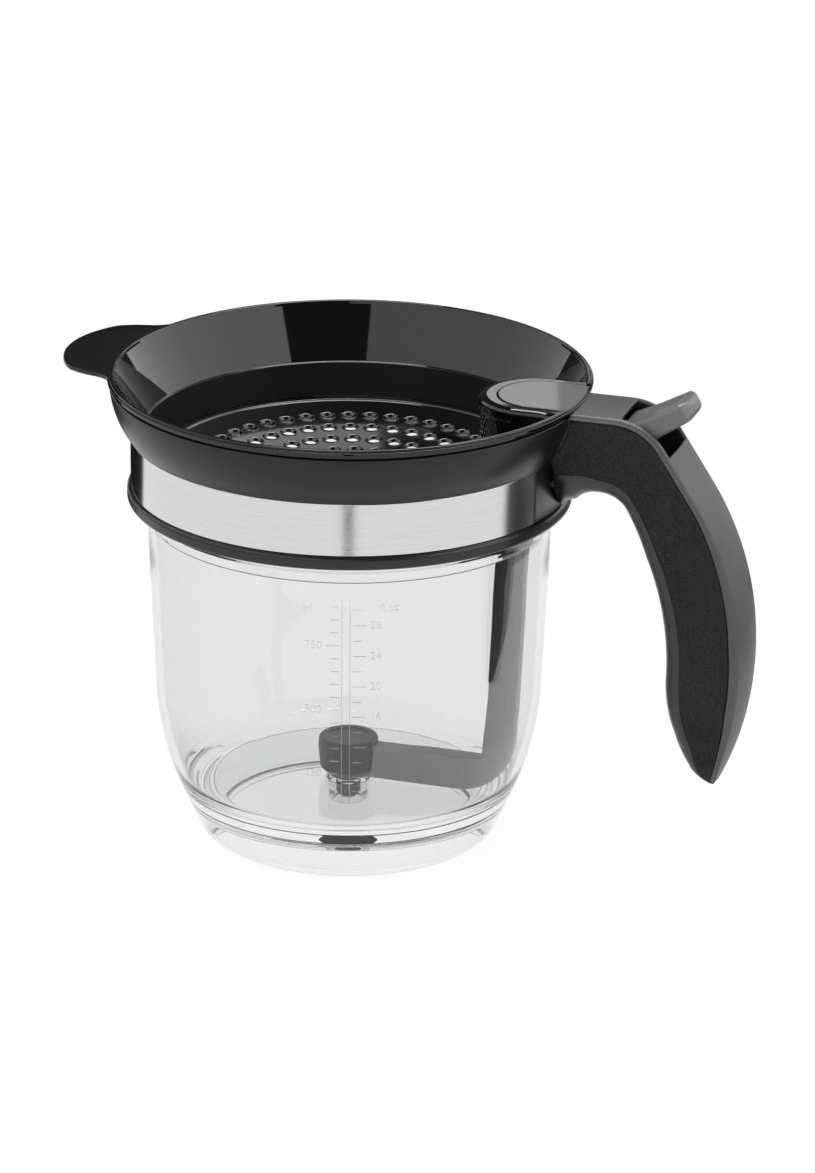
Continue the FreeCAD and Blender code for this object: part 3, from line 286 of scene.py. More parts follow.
def cutOut(name, outline, half, material, body, replaced, edgeRound, angle=35):
    # an outline in the XZ plane carried from y = -half to y = half, with its edges rounded
    side = np.insert(np.asarray(outline, float), 1, -half, axis=1)
    shape = capped(np.stack([side, side * [1, -1, 1]]))
    piece = makePiece(name, shape, material, body, replaced, 80)
    edge = piece.modifiers.new("softEdges", "BEVEL")
    edge.width, edge.segments, edge.limit_method = edgeRound * mm, 3, "ANGLE"
    edge.angle_limit = math.radians(angle)
    edge.harden_normals = True


def unit(vector):
    return vector / np.linalg.norm(vector, axis=-1, keepdims=True)


def arc(centre, radius, angles):
    # x = cx + r cos a, y = cy + r sin a
    return np.array(centre) + radius * np.stack([np.cos(angles), np.sin(angles)], axis=-1)


def bow(start, end, radius, turn, steps=16):
    # points of an arc from start to end; turn is 1 where it bends to the left on its way, -1 to the right
    start, end = np.array(start, float), np.array(end, float)
    chord = end - start
    half = np.linalg.norm(chord) / 2
    across = np.array([-chord[1], chord[0]]) / (2 * half) * turn
    centre = (start + end) / 2 + across * math.sqrt(max(radius ** 2 - half ** 2, 0))
    first = math.atan2(*(start - centre)[::-1])
    sweep = 2 * math.asin(min(half / radius, 1)) * turn
    return arc(centre, radius, first + np.linspace(0, 1, steps + 1) * sweep)


def lengthAlong(line):
    # the length of a line of points up to each of them
    return np.concatenate([[0], np.cumsum(np.linalg.norm(np.diff(line, axis=0), axis=1))])


def pointsAt(line, fractions):
    # the points at fractions of the line's length
    length = lengthAlong(line)
    return np.stack([np.interp(fractions * length[-1], length, line[:, axis]) for axis in range(2)], axis=-1)


def evenly(line, count):
    return pointsAt(line, np.linspace(0, 1, count))


def fractionAt(line, place):
    # how far along the line its point nearest to the place lies, from 0 to 1
    length = lengthAlong(line)
    return length[np.argmin(np.linalg.norm(line - np.array(place), axis=1))] / length[-1]


def smoothed(values, width):
    # a moving average; the ends are carried on in a straight line
    kernel = np.hanning(width + 2)[1:-1]
    before = 2 * values[0] - values[1:width + 1][::-1]
    after = 2 * values[-1] - values[-width - 1:-1][::-1]
    return np.convolve(np.concatenate([before, values, after]), kernel / kernel.sum(), "same")[width:-width]


def within(value, limit, width):
    # 1 below the limit and 0 above it, with a straight step of that width between
    return np.clip((limit - value) / width + 0.5, 0, 1)


def eased(share):
    return share * share * (3 - 2 * share)


def roundedShare(share):
    # the quarter round from 0 to 1: the square root of 1 - (1 - share) squared
    return np.sqrt(np.clip(1 - (1 - np.clip(share, 0, 1)) ** 2, 0, 1))


def softLoop(corners, steps=5, guard=0.3):
    # every corner (x, y, radius) of a closed outline becomes an arc tangent to its two sides, with one point
    # just outside each end of the arc so that the shading of the flat sides stays flat
    pieces = []
    for spot, (x, y, radius) in enumerate(corners):
        here = np.array([x, y])
        before = np.array(corners[spot - 1][:2]) - here
        after = np.array(corners[(spot + 1) % len(corners)][:2]) - here
        room = min(np.linalg.norm(before), np.linalg.norm(after))
        if radius == 0 or room < 1e-6:
            pieces.append(here[None])
            continue
        inward, outward = unit(before), unit(after)
        opening = math.acos(float(np.clip(inward @ outward, -1, 1)))
        reach = min(radius / math.tan(opening / 2), room * 0.49)
        radius = reach * math.tan(opening / 2)
        centre = here + unit(inward + outward) * radius / math.sin(opening / 2)
        first = math.atan2(*(inward * reach + here - centre)[::-1])
        last = math.atan2(*(outward * reach + here - centre)[::-1])
        sweep = (last - first + math.pi) % (2 * math.pi) - math.pi
        turn = arc(centre, radius, first + np.linspace(0, 1, steps + 1) * sweep)
        extra = min(guard, (room * 0.5 - reach) * 0.6)
        pieces.append(np.vstack([here + inward * (reach + extra), turn, here + outward * (reach + extra)]))
    return np.vstack(pieces)


def turned(profile, angles, change=None, whole=True):
    # a closed profile (r, z) carried round the Z axis: x = r cos a, y = r sin a
    angle, radius = np.meshgrid(angles, profile[:, 0], indexing="ij")
    height = np.broadcast_to(profile[:, 1], radius.shape)
    if change is not None:
        radius, height = change(angle, radius, height)
    grid = np.stack([radius * np.cos(angle), radius * np.sin(angle), height], axis=-1)
    if whole:
        return grid.reshape(-1, 3), gridFaces(len(angles), len(profile), True)
    return capped(grid)


def roundTurn(count=256, extra=()):
    # evenly spaced angles, and closely spaced ones (in degrees) where the piece changes
    angles = np.linspace(-math.pi, math.pi, count, endpoint=False)
    return np.unique(np.round(np.concatenate([angles, np.radians(np.array(extra, float))]), 7))


def slab(outline, low, high, rounding, centre):
    # a plate with rounded edges: rings of the outline step in from its edge by the round's own arc, on the
    # bottom and on the top, and then shrink to the centre
    along = np.roll(outline, -1, axis=0) - np.roll(outline, 1, axis=0)
    normal = unit(np.stack([along[:, 1], -along[:, 0]], axis=-1))
    if np.sum(normal * (outline - centre)) < 0:
        normal = -normal
    bend = np.linspace(0, math.pi / 2, 6)
    shrink = np.linspace(1, 0, 6)
    rings = outline - normal * (rounding * (1 - np.cos(bend)))[:, None, None]
    flat = centre + (outline - normal * (rounding + 0.15) - centre) * shrink[:, None, None]
    plan = np.concatenate([flat[::-1], rings[::-1], rings, flat])
    lift = rounding * (1 - np.sin(bend))
    height = np.concatenate([low + 0 * shrink, low + lift[::-1], high - lift, high + 0 * shrink])
    grid = np.insert(plan, 2, height[:, None], axis=2)
    return grid.reshape(-1, 3), gridFaces(*grid.shape[:2])


beakerSize = {"radius": 66.6, "wall": 2.6, "taper": 2.5, "shoulder": 112.0, "neck": 67.2, "beadLow": 122.0,
              "top": 124.5, "bead": 68.8, "bend": 52.0, "bodyRound": 100.0, "lean": 24.0, "footRound": 6.5,
              "footWidth": 3.2, "footDepth": 5.6, "floor": 17.8, "underside": 14.6, "floorRound": 11.0,
              "seat": 6.0, "outlet": 4.0, "nozzle": 6.5, "nozzleLow": 7.2, "mouthStep": 0.35}


def wallRadius(height):
    # the outside of the tapered wall
    s = beakerSize
    return s["radius"] - (s["shoulder"] - height) * math.tan(math.radians(s["taper"]))


def bodyCentre():
    # the middle of the large round that carries the tapered wall on below the bend
    s = beakerSize
    return arc((wallRadius(s["bend"]), s["bend"]), -s["bodyRound"], -math.radians(s["taper"]))


def makeBeaker():
    # one profile turned round the Z axis: from the nozzle under the floor, round the foot, up the outside,
    # over the rim, down the inside and over the floor into the drain
    s = beakerSize
    taper, lean = math.radians(s["taper"]), math.radians(s["lean"])
    middle = bodyCentre()
    coneX, coneZ = arc(middle, s["bodyRound"], -lean)
    footZ = s["footRound"] * (1 - math.sin(lean))
    flat = coneX - (coneZ - footZ) * math.tan(lean) - s["footRound"] * math.cos(lean)
    foot = arc((flat, s["footRound"]), s["footRound"], -np.linspace(math.pi / 2, lean, 12))
    body = arc(middle, s["bodyRound"], -np.linspace(lean, taper, 30))
    rise = np.linspace(s["bend"], s["shoulder"], 6)[1:-1]
    straight = np.stack([wallRadius(rise), rise], -1)
    ringX, inFoot = flat - s["footWidth"] + 4.2, flat - s["footWidth"]
    under = softLoop([(s["outlet"], s["nozzleLow"], 0.3), (s["nozzle"], s["nozzleLow"], 0.5),
                      (s["nozzle"] + 0.4, s["underside"], 0.6), (ringX + 2.3, s["underside"], 2.8),
                      (ringX, s["footDepth"], 0.8), (inFoot, 0, 0.7), (flat, 0, 0)], 6)[:-1]
    shoulder, mouth = s["shoulder"], s["radius"] - s["wall"]
    head = softLoop([(s["radius"] - 0.05, shoulder - 1.6, 2.2), (s["radius"] + 0.45, shoulder - 0.3, 0.5),
                     (s["radius"] + 0.5, shoulder + 0.7, 0.5), (s["neck"], shoulder + 1.2, 0.3),
                     (s["neck"], s["beadLow"], 0.1), (s["bead"], s["beadLow"], 0.3),
                     (s["bead"], s["top"], 0.4), (mouth, s["top"], 0.6), (mouth, shoulder + 1.8, 0.9),
                     (mouth - 0.5, shoulder + 0.6, 0.9), (mouth - s["mouthStep"], shoulder - 4, 0)])[:-1]
    # inside: the wall, the large round less the wall's thickness, a corner that touches it and the floor, and
    # the drain
    inner = s["bodyRound"] - s["wall"]
    cornerZ = s["floor"] + s["floorRound"]
    cornerX = middle[0] + math.sqrt((inner - s["floorRound"]) ** 2 - (middle[1] - cornerZ) ** 2)
    touch = math.atan2(middle[1] - cornerZ, cornerX - middle[0])
    down = np.linspace(0, 1, 7)[:-1, None]
    insideTop = np.array([mouth - s["mouthStep"], shoulder - 4])
    insideWall = insideTop * (1 - down) + arc(middle, inner, -taper) * down
    insideBend = arc(middle, inner, -np.linspace(taper, touch, 24))
    corner = arc((cornerX, cornerZ), s["floorRound"], -np.linspace(touch, math.pi / 2, 16)[1:])
    across = np.linspace(cornerX, s["seat"] + 1, 10)[1:]
    floor = np.stack([across, np.full(len(across), s["floor"])], -1)
    drain = np.array([(s["seat"] + 0.2, s["floor"]), (s["seat"], s["floor"] - 0.15),
                      (s["outlet"] + 0.15, s["floor"] - 2.05), (s["outlet"], s["floor"] - 2.4)])
    profile = np.vstack([under, foot, body, straight, head, insideWall, insideBend, corner, floor, drain])
    makePiece("clear_beaker", turned(profile, roundTurn(288)), clear, "jug", ["beaker"], 50)


scaleSize = {"azimuth": -72.7, "quarterStep": 22.5, "quarterLitre": 43.6, "spine": (33.0, 105.0),
             "ridge": 0.1, "rib": 1.3, "tick": 2.9, "longTick": 4.3, "gap": 2.2, "figure": 3.8,
             "depth": 0.13, "buried": 0.04, "headings": 101.5, "headingGap": 8.5}
ounceStep = scaleSize["quarterStep"] / 250 * 29.57  # a fluid ounce is 29.57 ml


def onWall(across, height, out):
    # a flat place (across, height) wrapped on the outside of the wall, standing out by a little
    centreX, centreZ = bodyCentre()
    curved = centreX + np.sqrt(np.maximum(beakerSize["bodyRound"] ** 2 - (centreZ - height) ** 2, 0))
    radius = np.where(height < beakerSize["bend"], curved, wallRadius(height))
    angle = math.radians(scaleSize["azimuth"]) + across / radius
    return np.stack([(radius + out) * np.cos(angle), (radius + out) * np.sin(angle), height], axis=-1)


def makeScale():
    # ridges with a round back: across the ridge the height is a half circle, and both ends close
    s = scaleSize
    bottom, top = s["spine"]
    ridges = [(side * s["rib"], bottom, side * s["rib"], top) for side in (-1, 1)]
    ticks = [(s["quarterLitre"] + step * s["quarterStep"] / 5, -1, step % 5 == 0) for step in range(-2, 14)]
    ticks += [(s["quarterLitre"] - s["quarterStep"] + step * ounceStep, 1, step % 4 == 0)
              for step in range(2, 40, 2)]
    for height, side, isLong in ticks:
        if bottom < height < top:
            reach = s["gap"] + (s["longTick"] if isLong else s["tick"])
            first, last = sorted([side * s["gap"], side * reach])
            ridges.append((first, height, last, height))
    ends = np.array(ridges)
    start, end = ends[:, None, :2], ends[:, None, 2:]
    length = np.linalg.norm(end - start, axis=-1, keepdims=True)
    share = np.sin(np.linspace(-math.pi / 2, math.pi / 2, 24))[None, :, None] / 2 + 0.5
    along = (end - start) / length
    sideways = np.stack([-along[..., 1], along[..., 0]], axis=-1)
    bend = np.linspace(0, math.pi, 7)
    width = s["ridge"] * roundedShare(np.minimum(share, 1 - share) * length / s["ridge"])
    offset = width[..., None] * np.cos(bend)[:, None]
    flat = (start + (end - start) * share)[:, :, None, :] + sideways[:, :, None, :] * offset
    points = onWall(flat[..., 0], flat[..., 1], width * np.sin(bend) - s["buried"])
    shape = points.reshape(-1, 3), manyGrids(*points.shape[:3])
    makePiece("scale_ridges", shape, clear, "jug", ())


def makeFigures():
    # each text becomes a flat mesh, and its points are wrapped on the wall as the ridges are
    s = scaleSize
    edge = s["gap"] + s["longTick"] + 1.2
    labels = [(str(250 * step), -edge, s["quarterLitre"] + (step - 1) * s["quarterStep"], "RIGHT")
              for step in (1, 2, 3)]
    labels += [(str(step), edge, s["quarterLitre"] - s["quarterStep"] + step * ounceStep, "LEFT")
               for step in range(4, 32, 4)]
    edge = s["gap"] + s["headingGap"]
    labels += [("ml", -edge, s["headings"], "RIGHT"), ("fl.oz", edge, s["headings"], "LEFT")]
    allPoints, allFaces, total = [], [], 0
    for text, across, height, align in labels:
        if not s["spine"][0] < height < s["spine"][1] + 2:
            continue
        curve = bpy.data.curves.new("figure", "FONT")
        curve.body, curve.size, curve.align_x, curve.align_y = text, s["figure"], align, "CENTER"
        curve.extrude, curve.resolution_u = 0.5, 3
        holder = bpy.data.objects.new("figure", curve)
        mesh = bpy.data.meshes.new_from_object(holder)
        flat = np.empty(len(mesh.vertices) * 3)
        mesh.vertices.foreach_get("co", flat)
        x, y, z = flat.reshape(-1, 3).T
        allPoints.append(onWall(across + x, height + y, np.where(z > 0, s["depth"], -s["buried"])))
        allFaces += [[corner + total for corner in face.vertices] for face in mesh.polygons]
        total += len(x)
        bpy.data.objects.remove(holder)
        bpy.data.meshes.remove(mesh)
    makePiece("scale_figures", (np.vstack(allPoints), allFaces), clear, "jug", (), 40)


makeBeaker()
makeScale()
makeFigures()
print("beaker and scale made")

headSize = {"ringLow": 116.7, "ringHigh": 121.1, "ringRadius": 72.9, "ringBore": 67.55, "spigot": 69.1,
            "spigotTop": 121.9, "skirtInner": 69.2, "skirtOuter": 71.2, "skirtLow": 121.1, "bandRadius": 71.7,
            "bandLow": 121.2, "bandHigh": 138.6, "ledge": 138.7, "ledgeRadius": 70.5, "flareLow": 72.0,
            "flareHigh": 78.2, "flareRound": 30.0, "collarTop": 155.4, "collarWall": 1.5, "opening": 16.5,
            "shelfLow": 126.0, "shelfHigh": 127.6, "shelfRadius": 65.2}


def makeLockRing():
    # a flat ring with a round edge and the spigot that stands on it, turned round the Z axis
    s = headSize
    profile = softLoop([(s["ringBore"], s["ringLow"], 0.3), (s["ringRadius"], s["ringLow"], 1.1),
                        (s["ringRadius"], s["ringHigh"], 1.3), (s["spigot"], s["ringHigh"], 0.1),
                        (s["spigot"], s["spigotTop"], 0.2), (s["ringBore"], s["spigotTop"], 0.2)])
    makePiece("black_ring", turned(profile, roundTurn(224)), ringBlack, "jug", ["lock_ring"])


def makeBand():
    # a thin strip turned round the Z axis, all but its opening behind the handle
    s = headSize
    inside = s["skirtOuter"] + 0.02
    profile = softLoop([(inside, s["bandLow"], 0.05), (s["bandRadius"], s["bandLow"], 0.22),
                        (s["bandRadius"], s["bandHigh"], 0.22), (inside, s["bandHigh"], 0.05)], 4)
    angles = np.radians(np.linspace(s["opening"], 360 - s["opening"], 220))
    shape = turned(profile, angles, whole=False)
    makePiece("band_sheet", shape, steel, "jug", ["steel_band"], 50)


def makeCollar():
    # skirt, flare and shelf are one profile turned round the Z axis
    s = headSize
    skirt, inside, ledge, top = s["skirtOuter"], s["skirtInner"], s["ledge"], s["collarTop"]
    wallTop = s["flareHigh"] - s["collarWall"]
    flare = bow((s["flareLow"] + 0.1, ledge + 0.35), (s["flareHigh"], top - 2), s["flareRound"], 1, 14)
    lower = softLoop([(inside, s["skirtLow"], 0.2), (skirt, s["skirtLow"], 0.2), (skirt, ledge, 0.1),
                      (s["flareLow"], ledge, 0.3), (*flare[0], 0)], 4)[:-1]
    upper = softLoop([(*flare[-1], 0), (s["flareHigh"], top, 0.35), (wallTop, top, 0.35),
                      (s["ledgeRadius"], ledge + 0.6, 1), (inside, ledge - 0.8, 1),
                      (inside, s["shelfHigh"], 0.3), (s["shelfRadius"], s["shelfHigh"], 0.3),
                      (s["shelfRadius"], s["shelfLow"], 0.2), (inside, s["shelfLow"], 0.1),
                      (inside, s["skirtLow"] + 1.4, 0)], 4)[1:]
    edge = s["opening"] - 0.2

    def blockOut(angle, radius, height):
        # the block stands out where the band leaves its opening
        share = eased(within(np.degrees(np.abs(angle)), edge, 0.5))
        onSkirt = (radius > skirt - 0.3) & (height < ledge + 0.4)
        fade = np.clip((height - s["skirtLow"]) / 0.3, 0, 1)
        return radius + np.maximum(s["flareLow"] - radius, 0) * share * fade * onSkirt, height

    steps = (-0.6, -0.3, -0.2, -0.1, 0, 0.1, 0.2, 0.3, 0.6)
    spread = [side * (edge + step) for side in (-1, 1) for step in steps]
    shape = turned(np.vstack([lower, flare, upper]), roundTurn(256, spread), blockOut)
    makePiece("head_collar", shape, collarBlack, "jug", ["collar"], 45)


makeLockRing()
makeBand()
makeCollar()
print("head made")

insertSize = {"rim": 79.1, "rimLow": 156.9, "rimTop": 158.8, "edge": 67.3, "edgeZ": 140.4, "skirt": 64.8,
              "skirtTop": 128.2, "bore": 63.7, "boreLow": 129.0, "snap": 62.3, "low": 125.0, "snapTop": 126.2,
              "wellX": 62.0, "wellRadius": 17.3,
              "wellInner": 15.6, "wellLow": 125.3, "beadOut": 17.8, "beadTop": 158.2, "spread": 3.2,
              "capHalf": 13.6, "capX": 64.2, "capLow": 156.8, "capTop": 158.25, "slopeTop": 76.1,
              "rimIn": 77.5}


def makeFunnel():
    # skirt, slope and rim are one profile turned round the Z axis; the slope is straight, with small rounds
    s = insertSize
    edge, edgeZ, bore, boreLow = s["edge"], s["edgeZ"], s["bore"], s["boreLow"]
    slopeTop, rimIn, rim, top = s["slopeTop"], s["rimIn"], s["rim"], s["rimTop"]
    profile = softLoop([(s["snap"], s["low"], 0.2), (s["skirt"], s["low"], 0.3),
                        (s["skirt"], s["skirtTop"], 0.5), (edge + 1.4, edgeZ - 0.3, 1),
                        (slopeTop, top - 4.6, 0.4), (slopeTop + 0.1, top - 3.3, 0.1), (rimIn, top - 3.3, 0.2),
                        (rimIn + 0.3, s["rimLow"], 0.2), (rim, s["rimLow"], 0.4), (rim, top - 0.75, 0.45),
                        (rim - 0.48, top - 0.8, 0.12), (rim - 0.54, top - 1.1, 0.12), (rim - 0.68, top, 0.5),
                        (rimIn - 0.3, top, 0.5), (rimIn - 0.75, top - 1.05, 0.5), (edge, edgeZ, 0.3),
                        (edge - 0.65, edgeZ - 0.15, 0.2), (bore + 0.1, boreLow, 0.3),
                        (bore, s["snapTop"], 0.1), (s["snap"], s["snapTop"], 0.1)], 6)
    capEdge = math.degrees(math.asin(s["capHalf"] / rimIn)) + 0.1

    def underCap(angle, radius, height):
        # beneath the cap the rim is lower, so that the cap lies in it
        share = within(np.degrees(np.abs(angle)), capEdge, 0.3) * (radius < rim - 0.6)
        return radius, height * (1 - share) + np.minimum(height, s["capLow"] - 0.1) * share

    def inBore(centres):
        # the steep wall under the slope is left matt from the mould
        radius, height = np.hypot(centres[:, 0], centres[:, 1]), centres[:, 2]
        steep = (radius < edge - 0.4) & (radius < bore + 0.2 + (height - boreLow) * 0.27)
        return steep & (height > boreLow + 0.2) & (height < edgeZ - 0.4)

    steps = (-0.5, -0.2, -0.15, -0.05, 0.05, 0.15, 0.2, 0.5)
    spread = [side * (capEdge + step) for side in (-1, 1) for step in steps]
    shape = turned(profile, roundTurn(288, spread), underCap)
    piece = makePiece("funnel_wall", shape, funnelBlack, "insert", ["funnel"], 60)
    secondFinish(piece, boreBlack, inBore)


def makeWell():
    # the section is carried along a U: a half circle round the well's axis and a straight run on each side
    s = insertSize
    wall, inside, lip = s["wellRadius"] - 0.3, s["wellInner"], s["capHalf"] + 0.1
    low, seat, top = s["wellLow"], s["capLow"] - 0.9, s["beadTop"]
    section = softLoop([(inside, low, 0.2), (inside, seat, 0.2), (lip, seat, 0.1), (lip, top - 0.1, 0.25),
                        (s["beadOut"], top, 3.4), (s["beadOut"], top - 4.3, 0.7), (wall, top - 4.8, 0.4),
                        (wall, low, 0.2)], 10)
    turn = np.radians(np.concatenate([np.full(8, 90), np.linspace(90, 270, 73), np.full(8, 270)]))[:, None]
    run = np.concatenate([np.linspace(15.2, 0.5, 8), np.zeros(73), np.linspace(0.5, 15.2, 8)])[:, None]
    out, height = section[:, 0], section[:, 1]
    # the shoulder round the cap is centred nearer the handle than the wall, and sweeps out into the rim
    near = np.clip((s["beadOut"] - out) / (s["beadOut"] - s["capHalf"]), 0, 1) * (height > top - 4.7)
    out = out + s["spread"] * np.clip((run - 5) / 9.5, 0, 1) ** 2 * (1 - near) * (height > top - 5)
    x = s["wellX"] + (s["capX"] - s["wellX"]) * near + run + out * np.cos(turn)
    points = np.stack([x, out * np.sin(turn), height + 0 * turn], axis=-1)
    # both ends run into the funnel's wall and stop inside it
    reach = np.interp(points[..., 2], [125, 140, 140.5, 154, 155.5, 158],
                      [64.3, 64.6, 68.0, 75.9, 77.0, 78.2])
    points[..., 0] = np.minimum(points[..., 0], np.sqrt(reach ** 2 - points[..., 1] ** 2))
    makePiece("well_wall", capped(points), funnelBlack, "insert", (), 60)


def makeCap():
    # a half circle towards the middle and an arc along the rim
    s = insertSize
    half, end = s["capHalf"], s["rim"] - 0.65
    reach = math.asin(half / end)
    outline = np.vstack([arc((s["capX"], 0), half, np.radians(np.linspace(90, 270, 60))),
                         arc((0, 0), end, np.linspace(-reach, reach, 30))])
    shape = slab(outline, s["capLow"], s["capTop"], 0.28, np.array([63.5, 0.0]))
    makePiece("well_cover", shape, capBlack, "insert", ["well_cap"], 50)


tabSize = {"reach": 97.37, "half": 28.7, "endRound": 36.0, "endReach": 8.0, "sideRound": 28.0,
           "rootRound": 12.0, "seam": 77.9, "low": 156.95, "high": 158.45, "edgeRound": 0.6, "dish": 0.25}


def makeTab():
    # each section runs from the rim out to the tab's free edge and back: the free edge is rounded, the inner
    # end is let into the rim, and the top is a little dished
    s = tabSize
    low, high, rounding = s["low"], s["high"], s["edgeRound"]
    rootY, neckY = s["half"] + 4.3, s["half"] - 2.1
    root, neck = (-math.sqrt(78.5 ** 2 - rootY ** 2), rootY), (-78.8, neckY)
    cornerY = math.sqrt(2 * s["endRound"] * s["endReach"] - s["endReach"] ** 2)
    corner, mirrored = (s["endReach"] - s["reach"], cornerY), (s["endReach"] - s["reach"], -cornerY)
    edge = np.vstack([bow(root, neck, s["rootRound"], -1, 14), bow(neck, corner, s["sideRound"], 1, 14)[1:],
                      bow(corner, mirrored, s["endRound"], 1, 50)[1:]])
    edge = evenly(np.vstack([edge, (edge * [1, -1])[::-1][51:]]), 180)
    edge = np.stack([smoothed(edge[:, 0], 9), smoothed(edge[:, 1], 9)], axis=-1)
    inner = s["seam"] * unit(edge)
    reach = np.linalg.norm(edge - inner, axis=1)[:, None]
    toEdge = (edge - inner) / np.maximum(reach, 1e-6)
    bend = np.linspace(0, math.pi / 2, 7)
    rounds = np.minimum(rounding, reach * 0.45)
    outLow, outHigh = reach - rounds * (1 - np.sin(bend)), reach - rounds * (1 - np.cos(bend))
    share = np.linspace(0, 1, 10)[None, :-1]
    flat = share * (reach - rounds - 0.1)
    dish = s["dish"] * np.clip(1 - np.abs(2 * share - 1.05) ** 2.5, 0, 1) * np.clip((reach - 2) / 8, 0, 1)
    across = np.hstack([flat, outLow, outHigh[:, 1:], flat[:, ::-1]])
    height = np.hstack([low + 0 * flat, low + rounding * (1 - np.cos(bend)) + 0 * reach,
                        high - rounding + rounding * np.sin(bend[1:]) + 0 * reach, (high - dish)[:, ::-1]])
    place = inner[:, None] + toEdge[:, None] * across[..., None]
    shape = capped(np.concatenate([place, height[..., None]], axis=-1))
    makePiece("grip_tab", shape, funnelBlack, "insert", (), 60)


strainerSize = {"radius": 63.6, "rim": 62.3, "rimRise": 0.5, "edgeTop": 128.2, "low": 126.2, "slope": 5.5,
                "thick": 0.8, "hole": 1.9, "firstRow": 49.2, "rowPitch": 9.15, "spacing": 7.25,
                "clear": 22.15, "cut": 16.9}


def plateTop(radius):
    # the plate is a shallow cone
    s = strainerSize
    return s["edgeTop"] - (s["rim"] - radius) * math.tan(math.radians(s["slope"]))


def cutForWell(points, faces):
    # what lies inside the well's outline is moved out to it, and faces wholly inside go
    x, y = points[:, 0], points[:, 1]
    middle = np.maximum(x, insertSize["wellX"])
    away = np.maximum(np.hypot(x - middle, y), 1e-6)
    inside = away < strainerSize["cut"]
    grow = np.where(inside, strainerSize["cut"] / away, 1)
    moved = np.stack([middle + (x - middle) * grow, y * grow, points[:, 2]], axis=-1)
    return moved, faces[~inside[faces].all(axis=1)]


def makeStrainer():
    # each hole has a square cell of its ring; points run from the cell's edge in to the hole, over a lip that
    # turns down into the hole, down its wall, and out again underneath. By the well the holes are too small to
    # be seen
    s = strainerSize
    thick, pitch = s["thick"], s["rowPitch"] / 2
    # out from the hole's edge, and up from the plate
    lip = np.array([(1.05, 0), (1.0, 0.2), (0.9, 0.29), (0.76, 0.27), (0.6, 0.1), (0.4, -0.18), (0.15, -0.45),
                    (0, -0.6), (0, -thick)])
    lipOut, lipUp = (s["hole"] + lip[:, 0])[None, :, None], lip[:, 1][None, :, None]
    side = np.linspace(-1, 1, 6)[:-1]
    one = np.ones(5)
    square = np.hstack([(one, side), (-side, one), (-one, -side), (side, -one)])
    around = np.radians(-45 + 18 * np.arange(20))
    allPoints, allFaces, total = [], [], 0
    for row in range(int(s["firstRow"] // s["rowPitch"]) + 1):
        ring = s["firstRow"] - row * s["rowPitch"]
        inner = max(ring - pitch, 0)
        count = max(1, round(2 * math.pi * ring / s["spacing"]))
        turn = np.radians(360 / count * (np.arange(count) + 0.5 * (row % 2)))[:, None, None]
        edgeR = ring + np.where(square[0] > 0, pitch, ring - inner) * square[0]
        edgeTurn = math.pi / count * square[1]
        edge = edgeR * np.array([np.cos(edgeTurn), np.sin(edgeTurn)])
        edgeX, edgeY = np.broadcast_to(edge[:, None, None], (2, count, 1, 20))
        drilled = np.hypot(ring * np.cos(turn) - insertSize["wellX"], ring * np.sin(turn)) > s["clear"]
        size = np.where(drilled, 1, 0.02)
        ringX, ringY = ring + lipOut * size * np.cos(around), lipOut * size * np.sin(around)
        lift = lipUp * drilled + 0 * ringX
        lift[:, -2:] = lipUp[:, -2:]
        level = np.zeros((count, 1, 20))
        flatX, flatY = np.hstack([edgeX, ringX, edgeX]), np.hstack([edgeY, ringY, edgeY])
        x = flatX * np.cos(turn) - flatY * np.sin(turn)
        y = flatX * np.sin(turn) + flatY * np.cos(turn)
        rise = np.hstack([level, lift, level - thick])
        allPoints.append(np.stack([x, y, plateTop(np.hypot(x, y)) + rise], axis=-1).reshape(-1, 3))
        allFaces.append(manyGrids(*x.shape) + total)
        total += x.size
    outer, rim, top, low = s["firstRow"] + pitch, s["rim"], s["edgeTop"], s["low"]
    rimTop, joint = top + s["rimRise"], outer - 0.02
    profile = softLoop([(joint, plateTop(outer), 0), (rim - 0.3, top, 0.5), (rim, rimTop, 0.3),
                        (s["radius"], rimTop, 0.3), (s["radius"], low, 0.1), (rim, low, 0.1),
                        (rim, top - thick, 0.1), (joint, plateTop(outer) - thick, 0)], 6)
    points, faces = turned(profile, roundTurn(288))
    shape = cutForWell(np.vstack(allPoints + [points]), np.vstack(allFaces + [faces + total]))
    makePiece("strainer_disc", shape, plateBlack, "insert", ["strainer_plate"], 50)


makeFunnel()
makeWell()
makeCap()
makeTab()
makeStrainer()
print("strainer insert made")

handleSize = {"top": 157.4, "start": 71.0, "neckX": 92.0, "neckRadius": 21.0, "neckAngle": 56.2, "run": 19.8,
              "gripRadius": 99.39, "gripSweep": 59.7, "half": 12.5, "grip": 13.0, "palmRound": 5.6,
              "rootRound": 8.5, "palmShift": 1.2, "palmFlat": 0.55, "strip": 0.985, "seamStep": 0.35,
              "hollow": 0.9, "crown": 1.5, "edgeRound": 2.9, "coverWall": 1.5, "slot": (94.2, 111.2),
              "slotHalf": 10.6, "pocket": (87.0, 113.0), "pocketDepth": 13.0, "rootEnd": 0.085,
              "clearance": 0.6}


